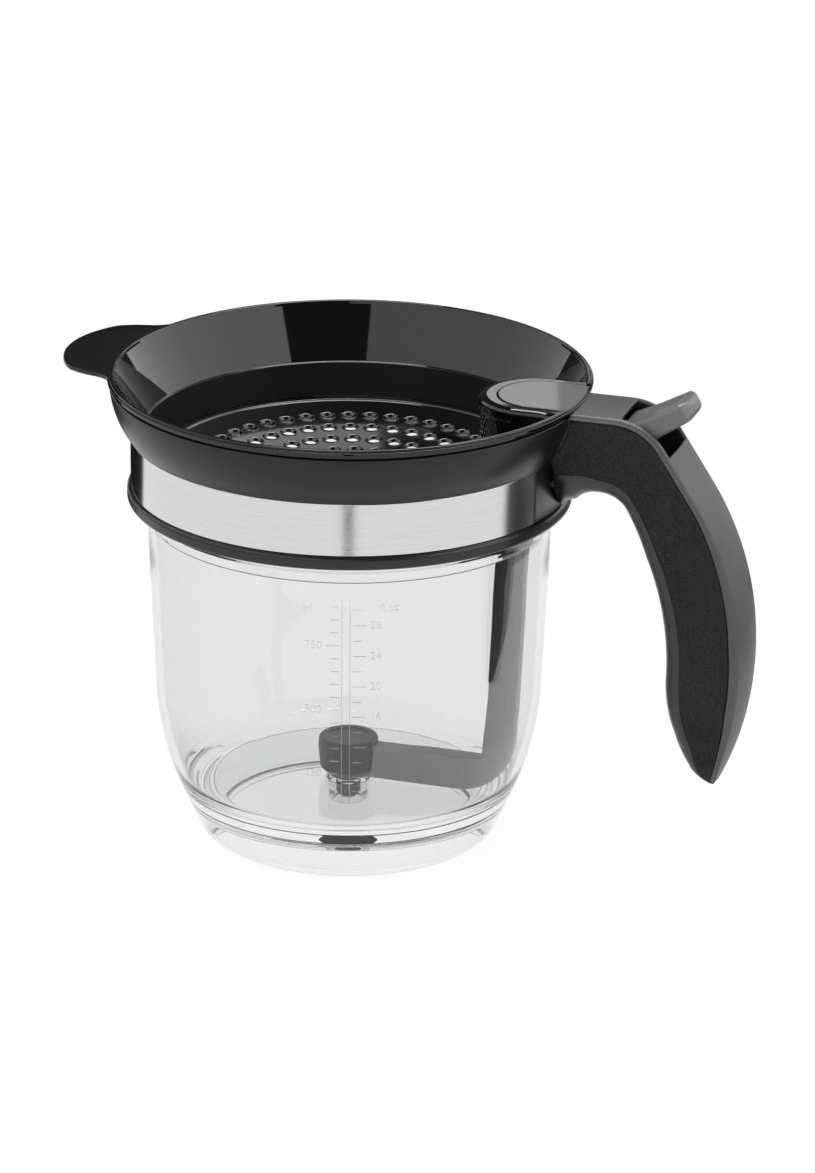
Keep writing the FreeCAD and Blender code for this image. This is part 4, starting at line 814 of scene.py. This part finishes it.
def spineLine(depth, count):
    # the back of the handle, or a line at a depth below it: level, round the neck, straight, then the long
    # round of the grip
    s = handleSize
    neck, sweep = math.radians(s["neckAngle"]), math.radians(s["gripSweep"])
    neckCentre = np.array([s["neckX"], s["top"] - s["neckRadius"]])
    outward, down = np.array([math.sin(neck), math.cos(neck)]), np.array([math.cos(neck), -math.sin(neck)])
    gripCentre = neckCentre + outward * (s["neckRadius"] - s["gripRadius"]) + down * s["run"]
    bend = arc(neckCentre, s["neckRadius"] - depth, math.pi / 2 - np.linspace(0, neck, 40))
    grip = arc(gripCentre, s["gripRadius"] - depth, math.pi / 2 - neck - np.linspace(0, sweep, 90))
    return evenly(np.vstack([[s["start"], s["top"] - depth], bend, grip]), count)


def collarRadius(height):
    return np.interp(height, [121.1, 138.7, 139.1, 143.0, 147.0, 150.0, 153.4, 155.4, 160.0],
                     [72.0, 72.0, 72.1, 74.6, 76.7, 77.7, 78.2, 78.2, 78.2])


def palmLine():
    # the inside of the handle, from the head down to the tip: where each arc ends, its radius, its bend
    place = np.array([75.4, 122.0])
    line = [[(73.5, 121.6), place]]
    for end, radius, turn, steps in (((78.7, 125.8), 9, -1, 6), ((95.9, 125.6), 10.8, -1, 30),
                                     ((111.1, 70.5), 92.4, -1, 60), ((119.7, 39.8), 47, 1, 40),
                                     ((128.3, 33.2), 11, 1, 10)):
        line.append(bow(place, end, radius, turn, steps)[1:])
        place = end
    return np.vstack(line)


def halfWidth(height):
    # seen from behind the handle is widest at the grip and runs to a round point
    s = handleSize
    return np.interp(height, [29, 30.5, 32, 35, 40, 48, 60, 75, 90, 110, 125, 160],
                     [1.5, 4.3, 5.9, 7.6, 9.2, 10.8, 12.1, 12.8, s["grip"], 12.8, 12.5, s["half"]])


def seamDepth(height):
    # how far the cover's lower edge lies below the back line
    return np.interp(height, [30, 36, 45, 60, 83, 110, 127, 140, 157],
                     [1.4, 2.0, 3.1, 4.3, 4.6, 3.6, 2.8, 2.6, 2.5])


def seamLine(extra, count):
    # the back line moved in by its own depth at every height
    back = spineLine(0.0, count)
    inward = unit(spineLine(1.0, count) - back)
    return back + inward * (seamDepth(back[:, 1]) + extra)[:, None]


def makeShell():
    # ribs run from the palm line to the seam line. Across a rib: a round over the palm edge, a fine crease, a
    # side panel that is a little hollow, a small step at the seam, the lever's pocket between the two sides
    s = handleSize
    seam = seamLine(0.15, 700)
    palm = evenly(palmLine(), 700)
    palm[:, 0] -= s["palmShift"] * np.interp(palm[:, 1], [30, 38, 50, 62, 110, 126],
                                             [0.6, 1.4, 0.4, 0.4, 1, 0])
    # both ends of the ribs that set how the others lie
    pairs = [((73.5, 121.6), (71.0, 154.7)), ((80, 127.5), (80, 154.7)), ((87, 130), (91, 154.7)),
             ((94, 128), (103.5, 149.9)), ((98.5, 121), (111.5, 140.0)), ((103.9, 110.7), (120.5, 126.0)),
             ((109, 90), (129.5, 96)), ((109.1, 70.5), (131.6, 72)), ((111.2, 56), (130.2, 53)),
             ((115.8, 43.5), (128.2, 40.5)), ((126.5, 32.6), (128.4, 32.0))]
    keys, even = np.linspace(0, 1, len(pairs)), np.linspace(0, 1, 240)
    low = smoothed(np.interp(even, keys, [fractionAt(palm, pair[0]) for pair in pairs]), 15)
    high = smoothed(np.interp(even, keys, [fractionAt(seam, pair[1]) for pair in pairs]), 15)
    low[0], high[0], low[-1], high[-1] = 0, 0, 1, 1
    pocket = [np.interp(x, pointsAt(seam, high)[:90, 0], even[:90]) for x in s["pocket"]]
    pocketRibs = [end + side * 0.0006 for end in pocket for side in (-1, 1)]
    share = np.unique(np.concatenate([even, np.linspace(0, 0.02, 14), pocketRibs]))
    inner = pointsAt(palm, np.interp(share, even, low))
    outer = pointsAt(seam, np.interp(share, even, high))
    span = np.linalg.norm(outer - inner, axis=1)[:, None]
    up = (outer - inner) / np.maximum(span, 1e-6)
    size = np.minimum(1, span / 14)
    # depths along a rib: the palm's round, the crease, the panel, the step and the pocket
    bend = np.linspace(0, math.pi / 2, 12)
    rootness = np.clip(1 - share / 0.2, 0, 1)[:, None] ** 1.3
    palmRound = np.minimum(s["palmRound"] * size + s["rootRound"] * rootness, span * 0.5)
    arcDepth = palmRound * (1 - np.cos(bend))
    creaseDepth = palmRound + np.array([0.0, 0.12, 0.3]) * size
    panel = np.linspace(0, 1, 14)[1:]
    panelDepth = creaseDepth[:, -1:] + (span - creaseDepth[:, -1:] - s["seamStep"] * size) * panel
    depth = np.hstack([0 * span, arcDepth, creaseDepth, panelDepth, np.repeat(span, 5, axis=1)])
    inPocket = within(-share, -pocket[0], 0.0011) * within(share, pocket[1], 0.0011)
    depth[:, -2:] -= s["pocketDepth"] * inPocket[:, None]
    middle = inner[:, None] + up[:, None] * depth[..., None]
    x, height = middle[..., 0], middle[..., 1]
    # widths in the same order
    half = halfWidth(height)
    scoop = np.interp(inner[:, 1:2], [36, 44, 54, 68], [0.4, 2.6, 2.6, 1])
    hollow = s["hollow"] * scoop * np.clip(span / 20, 0, 1) * np.sin(np.pi * panel) ** 1.5
    palmFlat = s["palmFlat"] * (1 - rootness)
    arcWide = (palmFlat + (1 - palmFlat) * np.sin(bend)) * s["strip"]
    creaseWide = np.array([-0.28, -0.3, -0.02]) * size
    pocketHalf = np.minimum(s["slotHalf"] + 0.4, half[:, -1:] * 0.8)
    wide = np.hstack([0 * span, arcWide * half[:, 1:13], s["strip"] * half[:, 13:16] + creaseWide,
                      (s["strip"] + (1 - s["strip"]) * panel) * half[:, 16:29] - hollow,
                      half[:, 29:30] - s["seamStep"] * size, pocketHalf + 0.3 * size, pocketHalf, pocketHalf,
                      0 * span])
    # the root spreads like a trumpet on to the head's round wall: an egg on the wall itself, a quarter round
    # away from it, and a small raised edge where it starts
    root = np.clip(share / s["rootEnd"], 0, 1)[:, None]
    egg = np.interp(height, [121.6, 125, 128, 131, 137, 141, 145, 149, 152, 155],
                    [1, 2.5, 4.6, 6.5, 9.6, 12.6, 15, 14.4, 13.2, 12.5])
    isSide = np.ones(wide.shape[1])
    isSide[[0, -1, -2, -3, -4]] = 0
    eggHere = egg * roundedShare(depth / np.maximum(palmRound, 0.1))
    wide = wide + (eggHere - wide) * (1 - roundedShare(root)) * isSide
    wall = np.sqrt(collarRadius(height) ** 2 - np.minimum(wide, 30) ** 2)
    start = np.interp(height, [128, 134], [-3.0, -0.5])
    edge = start + (s["clearance"] - start) * np.interp(root, [0, 0.04, 0.12, 1], [0, 0.9, 1, 1])
    x = (wall + edge) * (1 - eased(root)) + np.maximum(x, wall + s["clearance"]) * eased(root)
    right, left = [np.stack([x, side * wide, height], axis=-1) for side in (1, -1)]
    shape = capped(np.concatenate([right, left[:, -2:0:-1]], axis=1))
    piece = makePiece("handle_body", shape, handleBlack, "jug", ["handle_shell"], 40)
    crease = inner + up * creaseDepth[:, 1:2]

    def overPalm(centres):
        # the round over the palm edge is smooth, the panels are grained
        places = centres[:, [0, 2]]
        nearest = np.argmin(np.linalg.norm(crease[None] - places[:, None], axis=2), axis=1)
        return np.sum((places - crease[nearest]) * up[nearest], axis=1) < 0

    secondFinish(piece, stripBlack, overPalm)


def makeCover():
    # across the back: a large round at each edge and a low crown between them, all measured out from the seam
    # line; the lever's slot is left out of the grid
    s = handleSize
    back = spineLine(0.0, 1200)
    marks = np.array([fractionAt(back, back[np.argmin(np.abs(back[:600, 0] - x))]) for x in s["slot"]])
    nearMarks = [marks, marks + 0.0012, marks - 0.0012]
    fractions = np.unique(np.concatenate([np.linspace(0, 1, 220)] + nearMarks))
    base = pointsAt(back, fractions)
    behind, ahead = [pointsAt(back, (fractions + step).clip(0, 1)) for step in (-0.003, 0.003)]
    tangent = unit(ahead - behind)
    normal = np.stack([-tangent[:, 1], tangent[:, 0]], axis=-1)
    half, deep = halfWidth(base[:, 1])[:, None], seamDepth(base[:, 1])[:, None]
    crown = np.minimum(s["crown"], deep * 0.3)
    rounding = np.minimum(deep - crown - 0.25, s["edgeRound"])
    bend = np.linspace(0, math.pi / 2, 9)
    # the lower edge has a small bead whose face runs up to the large round
    bead = np.minimum(0.25, deep * 0.1)
    edgeWide = np.hstack([half - 0.5, half + bead - 0.12, half + bead, half + bead, half + bead - 0.12, half,
                          half - rounding * (1 - np.cos(bend))])
    beadRise = np.array([0, 0, 0.12, 0.3, 0.45, 0.6]) - deep
    edgeRise = np.maximum.accumulate(np.hstack([beadRise, rounding * (np.sin(bend) - 1) - crown]), axis=1)
    # over the top the slot's edge gets two rows of its own, where it is narrow enough for them
    inside = half - rounding
    slotShare = s["slotHalf"] / inside
    shares = np.array([0.97, 0.92, 0.004, 0.0, 0.7, 0.5, 0.25, 0.0]) + 0 * inside
    shares[:, 2:3], shares[:, 3:4] = slotShare + 0.004, slotShare
    most = np.array([0.97, 0.92, 0.9, 0.88, 0.7, 0.5, 0.25, 0.0]) + np.where(slotShare < 0.95, 0.1, 0)
    shares = -np.sort(-np.minimum(shares, most), axis=1)
    wide, rise = np.hstack([edgeWide, inside * shares]), np.hstack([edgeRise, -crown * shares ** 2])
    place = base[:, None] + normal[:, None] * rise[..., None]
    right, left = [np.insert(place, 1, side * wide, axis=2) for side in (1, -1)]
    grid = np.concatenate([right, left[:, -2::-1]], axis=1)
    # the root end follows the head's wall
    wall = np.sqrt(collarRadius(grid[..., 2]) ** 2 - grid[..., 1] ** 2) + 0.25
    grid[..., 0] = np.maximum(grid[..., 0], wall)
    rows, columns = grid.shape[:2]
    faces = gridFaces(rows, columns, wrapColumns=False)
    sideways = np.abs(grid.reshape(-1, 3)[faces].mean(axis=1)[:, 1])
    along = fractions[faces.min(axis=1) // columns]
    inSlot = (along > marks[0] - 1e-6) & (along < marks[1] - 1e-6) & (sideways < s["slotHalf"])
    piece = makePiece("spine_back", (grid.reshape(-1, 3), faces[~inSlot]), spineGrey, "jug", ["spine_cover"],
                      60, closed=False)
    # the sheet is open, so its highest face tells which way out is
    work = bmesh.new()
    work.from_mesh(piece.data)
    loose = [vertex for vertex in work.verts if not vertex.link_faces]
    bmesh.ops.delete(work, geom=loose, context="VERTS")
    highest = max(work.faces, key=lambda face: face.calc_center_median().z)
    if highest.normal.z < 0:
        bmesh.ops.reverse_faces(work, faces=work.faces)
    work.to_mesh(piece.data)
    work.free()
    coverWall = piece.modifiers.new("coverWall", "SOLIDIFY")
    coverWall.thickness, coverWall.offset = s["coverWall"] * mm, -1


makeShell()
makeCover()
print("handle made")

leverSize = {"pivot": (92.0, 145.4), "tip": (116.2, 161.0), "padRoot": (97.35, 149.8), "half": 9.2,
             "scoop": 1.1, "squareness": 5.0, "hubRound": 4.6, "rodX": 56.0, "noseHalf": 4.6,
             "noseSlope": 6.5}


def makeLever():
    # the pad is a bar whose section is a rounded square, |cos t| and |sin t| to the power 2 / squareness; its
    # top is hollowed between its edges and its end runs round
    s = leverSize
    px, pz = s["pivot"]
    tip, padRoot = np.array(s["tip"]), np.array(s["padRoot"])
    lastPart = 1 - 0.14 * np.cos(np.linspace(0, math.pi / 2, 14))[1:]
    share = np.concatenate([np.linspace(0, 0.86, 30), lastPart]).clip(0, 1)[:, None]
    thick = np.interp(share, [0, 0.4, 0.75, 1.0], [5.0, 4.1, 3.7, 3.6])
    closing = np.sqrt(np.clip(1 - ((share - 0.84) / 0.16).clip(0, 1) ** 2, 0, 1))
    narrow = np.sqrt(1 - ((share - 0.72) / 0.28).clip(0, 1) ** 2.4 * 0.5) * (0.25 + 0.75 * closing ** 0.7)
    turn = np.linspace(0, 2 * math.pi, 64, endpoint=False)
    power = 2 / s["squareness"]
    across, rise = [np.sign(wave) * np.abs(wave) ** power for wave in (np.cos(turn), np.sin(turn))]
    hollow = np.clip(1 - (across * 1.12) ** 2, 0, 1) * np.clip(rise, 0, 1)
    hollow = s["scoop"] * hollow * np.interp(share, [0, 0.25, 0.75, 0.97], [0, 1, 1, 0])
    along = unit(tip - padRoot)
    up = np.array([-along[1], along[0]])
    lift = thick * rise * closing - hollow
    place = (padRoot + (tip - padRoot) * share)[:, None] + up * lift[..., None]
    shape = capped(np.insert(place, 1, s["half"] * across * narrow, axis=2))
    makePiece("thumb_pad", shape, leverGrey, "lever", ["thumb_lever"], 70)
    # the nose slopes down to the rod
    slope = math.tan(math.radians(s["noseSlope"]))
    end = s["rodX"] - 2.6
    endZ = pz - (px - end) * slope
    nose = [(end, endZ), (end, endZ - 2.7), (74, pz - (px - s["rodX"]) * slope - 1.8), (px, pz - 4.4),
            (px + 5, pz - 1.8), (px + 10.5, pz + 2.8), (px + 6, pz + 8), (px, pz + 5), (px - 3.5, pz + 1)]
    cutOut("lever_nose", nose, s["noseHalf"], leverGrey, "lever", (), 0.5)
    hub = arc(s["pivot"], s["hubRound"], np.linspace(0, 2 * math.pi, 48, endpoint=False))
    cutOut("lever_hub", hub, s["half"], leverGrey, "lever", (), 0.5, 60)


armSize = {"low": 18.4, "foot": 11.6, "width": 9.3, "half": 3.0, "corner": 19.0, "top": 118.6, "play": 3.5,
           "start": 6.5, "tailEnd": 58.0, "faceDrop": 27.0, "proud": 0.12, "stemRound": 2.0, "stemTop": 146.1}


def armEdge(height):
    # the outer edge of the upright follows the inside of the wall
    return wallRadius(height) - beakerSize["wall"] - armSize["play"]


def makeArm():
    # an L in the XZ plane: a straight foot, a round corner, and an upright that follows the wall
    s = armSize
    bend, footTop, knee = s["low"] + s["corner"], s["low"] + s["foot"], beakerSize["bend"]
    corner = bow((armEdge(bend) - s["corner"] + 1, s["low"]), (armEdge(bend), bend), s["corner"], 1, 18)
    outline = np.vstack([(s["start"], s["low"]), corner, (armEdge(knee), knee), (armEdge(s["top"]), s["top"]),
                         (armEdge(s["top"]) - s["width"], s["top"]), (armEdge(knee) - s["width"], knee),
                         (armEdge(bend) - s["width"] - 1.2, footTop), (s["start"], footTop)])
    cutOut("stopper_arm", outline, s["half"], armGrey, "lift", ["lift_arm"], 0.5, 30)


def makeTail():
    # the lift rod: round above, and a flat tail let into the arm, a little proud of both its faces
    s = armSize
    low, face, top = s["tailEnd"], s["top"] - s["faceDrop"], s["top"] - 1
    innerLow, innerFace, innerTop = [armEdge(height) - s["width"] for height in (low, face, top)]
    outline = softLoop([(innerLow - 0.06, low, 0.4), (innerLow + 1.2, low + 0.2, 1.0),
                        (innerFace + 4.6, face - 14, 12), (innerFace + 6.2, face, 6),
                        (innerTop + 6.4, top, 0.2), (innerTop - 0.06, top, 0.2)], 6)
    cutOut("rod_tail", outline, s["half"] + s["proud"], hubBlack, "lift", (), 0.25, 40)
    profile = softLoop([(0, top - 1, 0), (s["stemRound"], top - 1, 0), (s["stemRound"], s["stemTop"], 0.5),
                        (0, s["stemTop"], 0)])
    points, faces = turned(profile, roundTurn(48))
    shape = points + np.array([leverSize["rodX"], 0, 0]), faces
    makePiece("rod_stem", shape, hubBlack, "lift", ["lift_rod"], 50)


hubSize = {"radius": 10.1, "low": 18.6, "high": 32.0, "chamfer": 2.4, "topRound": 7.2, "plugLow": 9.0,
           "plugHigh": 18.8, "plugRadius": 4.03, "tipRadius": 3.0, "coneRadius": 6.3}


def makeHub():
    # barrel and plug are profiles turned round the Z axis
    s = hubSize
    low, high, radius = s["low"], s["high"], s["radius"]
    profile = softLoop([(0, low, 0), (radius - s["chamfer"] - 0.6, low, 0.5),
                        (radius - 0.6, low + s["chamfer"], 1.4), (radius, high - 3.5, 5),
                        (radius - 0.3, high, 1.1), (s["topRound"], high, 0.3),
                        (s["topRound"] - 0.3, high - 0.5, 0.3), (0, high - 0.6, 0)], 6)
    shape = turned(profile, roundTurn(96))
    makePiece("hub_barrel", shape, hubBlack, "lift", ["stopper_hub"], 50)
    # rubber pressed on its seat: a hair wider than the bore and the cone above it
    low, high, radius, cone = s["plugLow"], s["plugHigh"], s["plugRadius"], s["coneRadius"]
    profile = softLoop([(0, low, 0), (s["tipRadius"], low, 0.3), (radius, low + 1.4, 0.6),
                        (radius, high - 3.35, 0), (cone - 0.22, high - 1.2, 0), (cone, high - 0.8, 0.2),
                        (cone, high, 0), (0, high, 0)])
    shape = turned(profile, roundTurn(72))
    makePiece("plug_cone", shape, rubber, "lift", ["stopper_plug"], 50)


springSize = {"radius": 3.3, "wire": 0.4, "low": 119.2, "high": 133.8, "turns": 5, "lift": 8.203}


def makeSpring():
    # a circle is carried along a coil: the turn grows with the height
    s, x = springSize, leverSize["rodX"]
    along = np.linspace(0, 1, 181)[:, None]
    turn = 2 * math.pi * s["turns"] * along
    around = np.linspace(0, 2 * math.pi, 13)[:-1]
    out = s["radius"] + s["wire"] * np.cos(around)
    height = s["low"] + (s["high"] - s["low"]) * along + s["wire"] * np.sin(around)
    shape = capped(np.stack([x + out * np.cos(turn), out * np.sin(turn), height], axis=-1))
    piece = makePiece("return_coil", shape, wireSteel, "jug", ["return_spring"], 60)
    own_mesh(piece)


makeLever()
makeArm()
makeSpring()
makeTail()
makeHub()

# these keep the shape they have in the frame and only get a finish
keptNodes = {"rim_gasket": rubber, "pivot_pin": wireSteel, "cross_pin": wireSteel, "handle_screws": hubBlack,
             "stopper_stem": wireSteel, "rod_guide": handleBlack}
for nodeName, finish in keptNodes.items():
    for holder in nodes[nodeName].material_slots:
        holder.material = finish
print("lever and lift made")

cameraSize = {"azimuth": 17.5, "elevation": 20.63, "away": 1.754, "lens": 163.1, "roll": 0.53,
              "target": (0.0183, 0.0058, 0.0844)}
studioSize = {"floor": 8.0, "floorShade": 0.85, "floorGlow": 1.08, "floorShare": 0.87, "world": 0.45,
              "gloss": 0.07}


def makeFloor():
    # the rays that show the background, directly, in gloss or through the clear wall, find a white floor
    s = studioSize
    corners = np.array([(-1, -1, 0), (1, -1, 0), (1, 1, 0), (-1, 1, 0)])
    mesh = newMesh("floor", corners * s["floor"], [(0, 1, 2, 3)])
    paint = Paint("floorWhite")
    plain = paint.node("ShaderNodeBsdfDiffuse", {}, {"Color": grey(s["floorShade"])})
    glow = paint.node("ShaderNodeEmission", {}, {"Color": grey(1), "Strength": s["floorGlow"]})
    white = paint.rays("Camera", "Glossy", "Transmission") * s["floorShare"]
    mesh.materials.append(paint.output(paint.node("ShaderNodeMixShader", {}, {0: white, 1: plain, 2: glow})))
    addObject("floor", mesh)


def makeWorld():
    # white where it is seen, dim in gloss, so that the lamps below draw the highlights
    s = studioSize
    bpy.context.scene.world = bpy.data.worlds.new("studio")
    paint = Paint("studio", bpy.context.scene.world)
    seen, gloss = paint.rays("Camera", "Transmission"), paint.rays("Glossy")
    level = seen * (1 - s["world"]) + gloss * (1 - seen) * (s["gloss"] - s["world"]) + s["world"]
    paint.output(paint.node("ShaderNodeBackground", {}, {"Color": grey(1), "Strength": level}), "World")


# each is a part of a ring on the floor: from one turn to another, and from one distance to another
cardSizes = {"midCard": (-2.0, 2.2, 0.37, 0.6), "rightCard": (86, 150, 0.315, 0.6),
             "leftCard": (-168, -128, 0.315, 0.6)}


def makeCards():
    # dark cards lie in front of the object, where the steel band sees the floor; only its gloss meets them
    paint = Paint("cardBlack")
    black = paint.output(paint.node("ShaderNodeBsdfDiffuse", {}, {"Color": grey(0.01)}))
    for name, (start, end, near, far) in cardSizes.items():
        around = np.radians(cameraSize["azimuth"] + np.linspace(start, end, 24))
        away = np.array([[near], [far]])
        place = np.stack([away * np.sin(around), -away * np.cos(around), 0.004 + 0 * away * around], axis=-1)
        mesh = newMesh(name, place.reshape(-1, 3), gridFaces(2, 24, wrapColumns=False))
        mesh.materials.append(black)
        card = addObject(name, mesh)
        card.visible_camera = card.visible_diffuse = card.visible_transmission = card.visible_shadow = False


def fromObject(turn, rise, away):
    # a place seen from the object: turn is counted from the camera's side, rise above the floor
    around, up = math.radians(cameraSize["azimuth"] + turn), math.radians(rise)
    return away * np.array([math.sin(around) * math.cos(up), -math.cos(around) * math.cos(up), math.sin(up)])


def aim(thing, target, offset, roll=0.0):
    # the thing stands at the target plus the offset, and its local Z axis points away from the target
    back = unit(offset)
    right = unit(np.cross([0, 0, 1], back))
    up = np.cross(back, right)
    turn = math.radians(roll)
    across = right * math.cos(turn) + up * math.sin(turn)
    over = -right * math.sin(turn) + up * math.cos(turn)
    columns = np.stack([across, over, back, target + offset], axis=-1)
    thing.matrix_world = Matrix(columns.tolist() + [[0, 0, 0, 1]])


# turn and rise are as in fromObject, shift moves a lamp's target to the camera's right; "gloss" lamps draw
# highlights only, and the others light matt surfaces only
bodyMiddle, capLevel = (0, 0, 0.1), (0.0201, 0, 0.158)
lampSizes = {
    "leftSoft": {"turn": -40, "rise": 42, "away": 1.3, "size": (1.2, 1.0), "glow": 1.0, "gloss": False},
    "rightSoft": {"turn": 62, "rise": 40, "away": 1.3, "size": (1.0, 1.0), "glow": 0.9, "gloss": False},
    "topSoft": {"turn": 160, "rise": 70, "away": 1.2, "size": (1.0, 0.8), "glow": 0.8, "gloss": False},
    "leftGloss": {"turn": -67.8, "rise": 36, "away": 1.3, "size": (6.0, 1.1), "glow": 1.3, "gloss": True},
    "rightGloss": {"turn": 99.5, "rise": 34, "away": 1.3, "size": (3.0, 1.2), "glow": 2.05, "gloss": True},
    "topGloss": {"turn": 150, "rise": 76, "away": 0.9, "size": (0.7, 0.5), "glow": 9.0, "gloss": True},
    "capGloss": {"turn": 180, "rise": 20.6, "away": 0.6, "size": (0.05, 0.06), "glow": 1.6, "gloss": True,
                 "target": capLevel, "shift": 0.040},
    "capDim": {"turn": 180, "rise": 20.6, "away": 0.6, "size": (0.034, 0.06), "glow": 0.85, "gloss": True,
               "target": capLevel, "shift": 0.082},
}


def makeLamps():
    # energy grows with the area, so that glow is the brightness of the lamp itself
    azimuth = math.radians(cameraSize["azimuth"])
    right = np.array([math.cos(azimuth), math.sin(azimuth), 0])
    for name, s in lampSizes.items():
        lamp = bpy.data.lights.new(name, "AREA")
        lamp.shape, lamp.size, lamp.size_y = "RECTANGLE", *s["size"]
        lamp.energy = s["glow"] * math.pi * s["size"][0] * s["size"][1]
        holder = addObject(name, lamp)
        target = np.array(s.get("target", bodyMiddle)) + right * s.get("shift", 0)
        aim(holder, target, fromObject(s["turn"], s["rise"], s["away"]))
        holder.visible_camera = holder.visible_transmission = False
        holder.visible_glossy, holder.visible_diffuse = s["gloss"], not s["gloss"]


def makeCamera():
    # the view looks at its target from the object's front, a little from above
    s = cameraSize
    lens = bpy.data.cameras.new("view")
    lens.lens, lens.sensor_width, lens.clip_start, lens.clip_end = s["lens"], 36, 0.05, 50
    camera = addObject("view", lens)
    aim(camera, np.array(s["target"]), fromObject(0, s["elevation"], s["away"]), s["roll"])
    bpy.context.scene.camera = camera


makeFloor()
makeCards()
makeWorld()
makeLamps()
makeCamera()
bpy.context.scene.view_settings.view_transform = "Standard"
print("studio made")
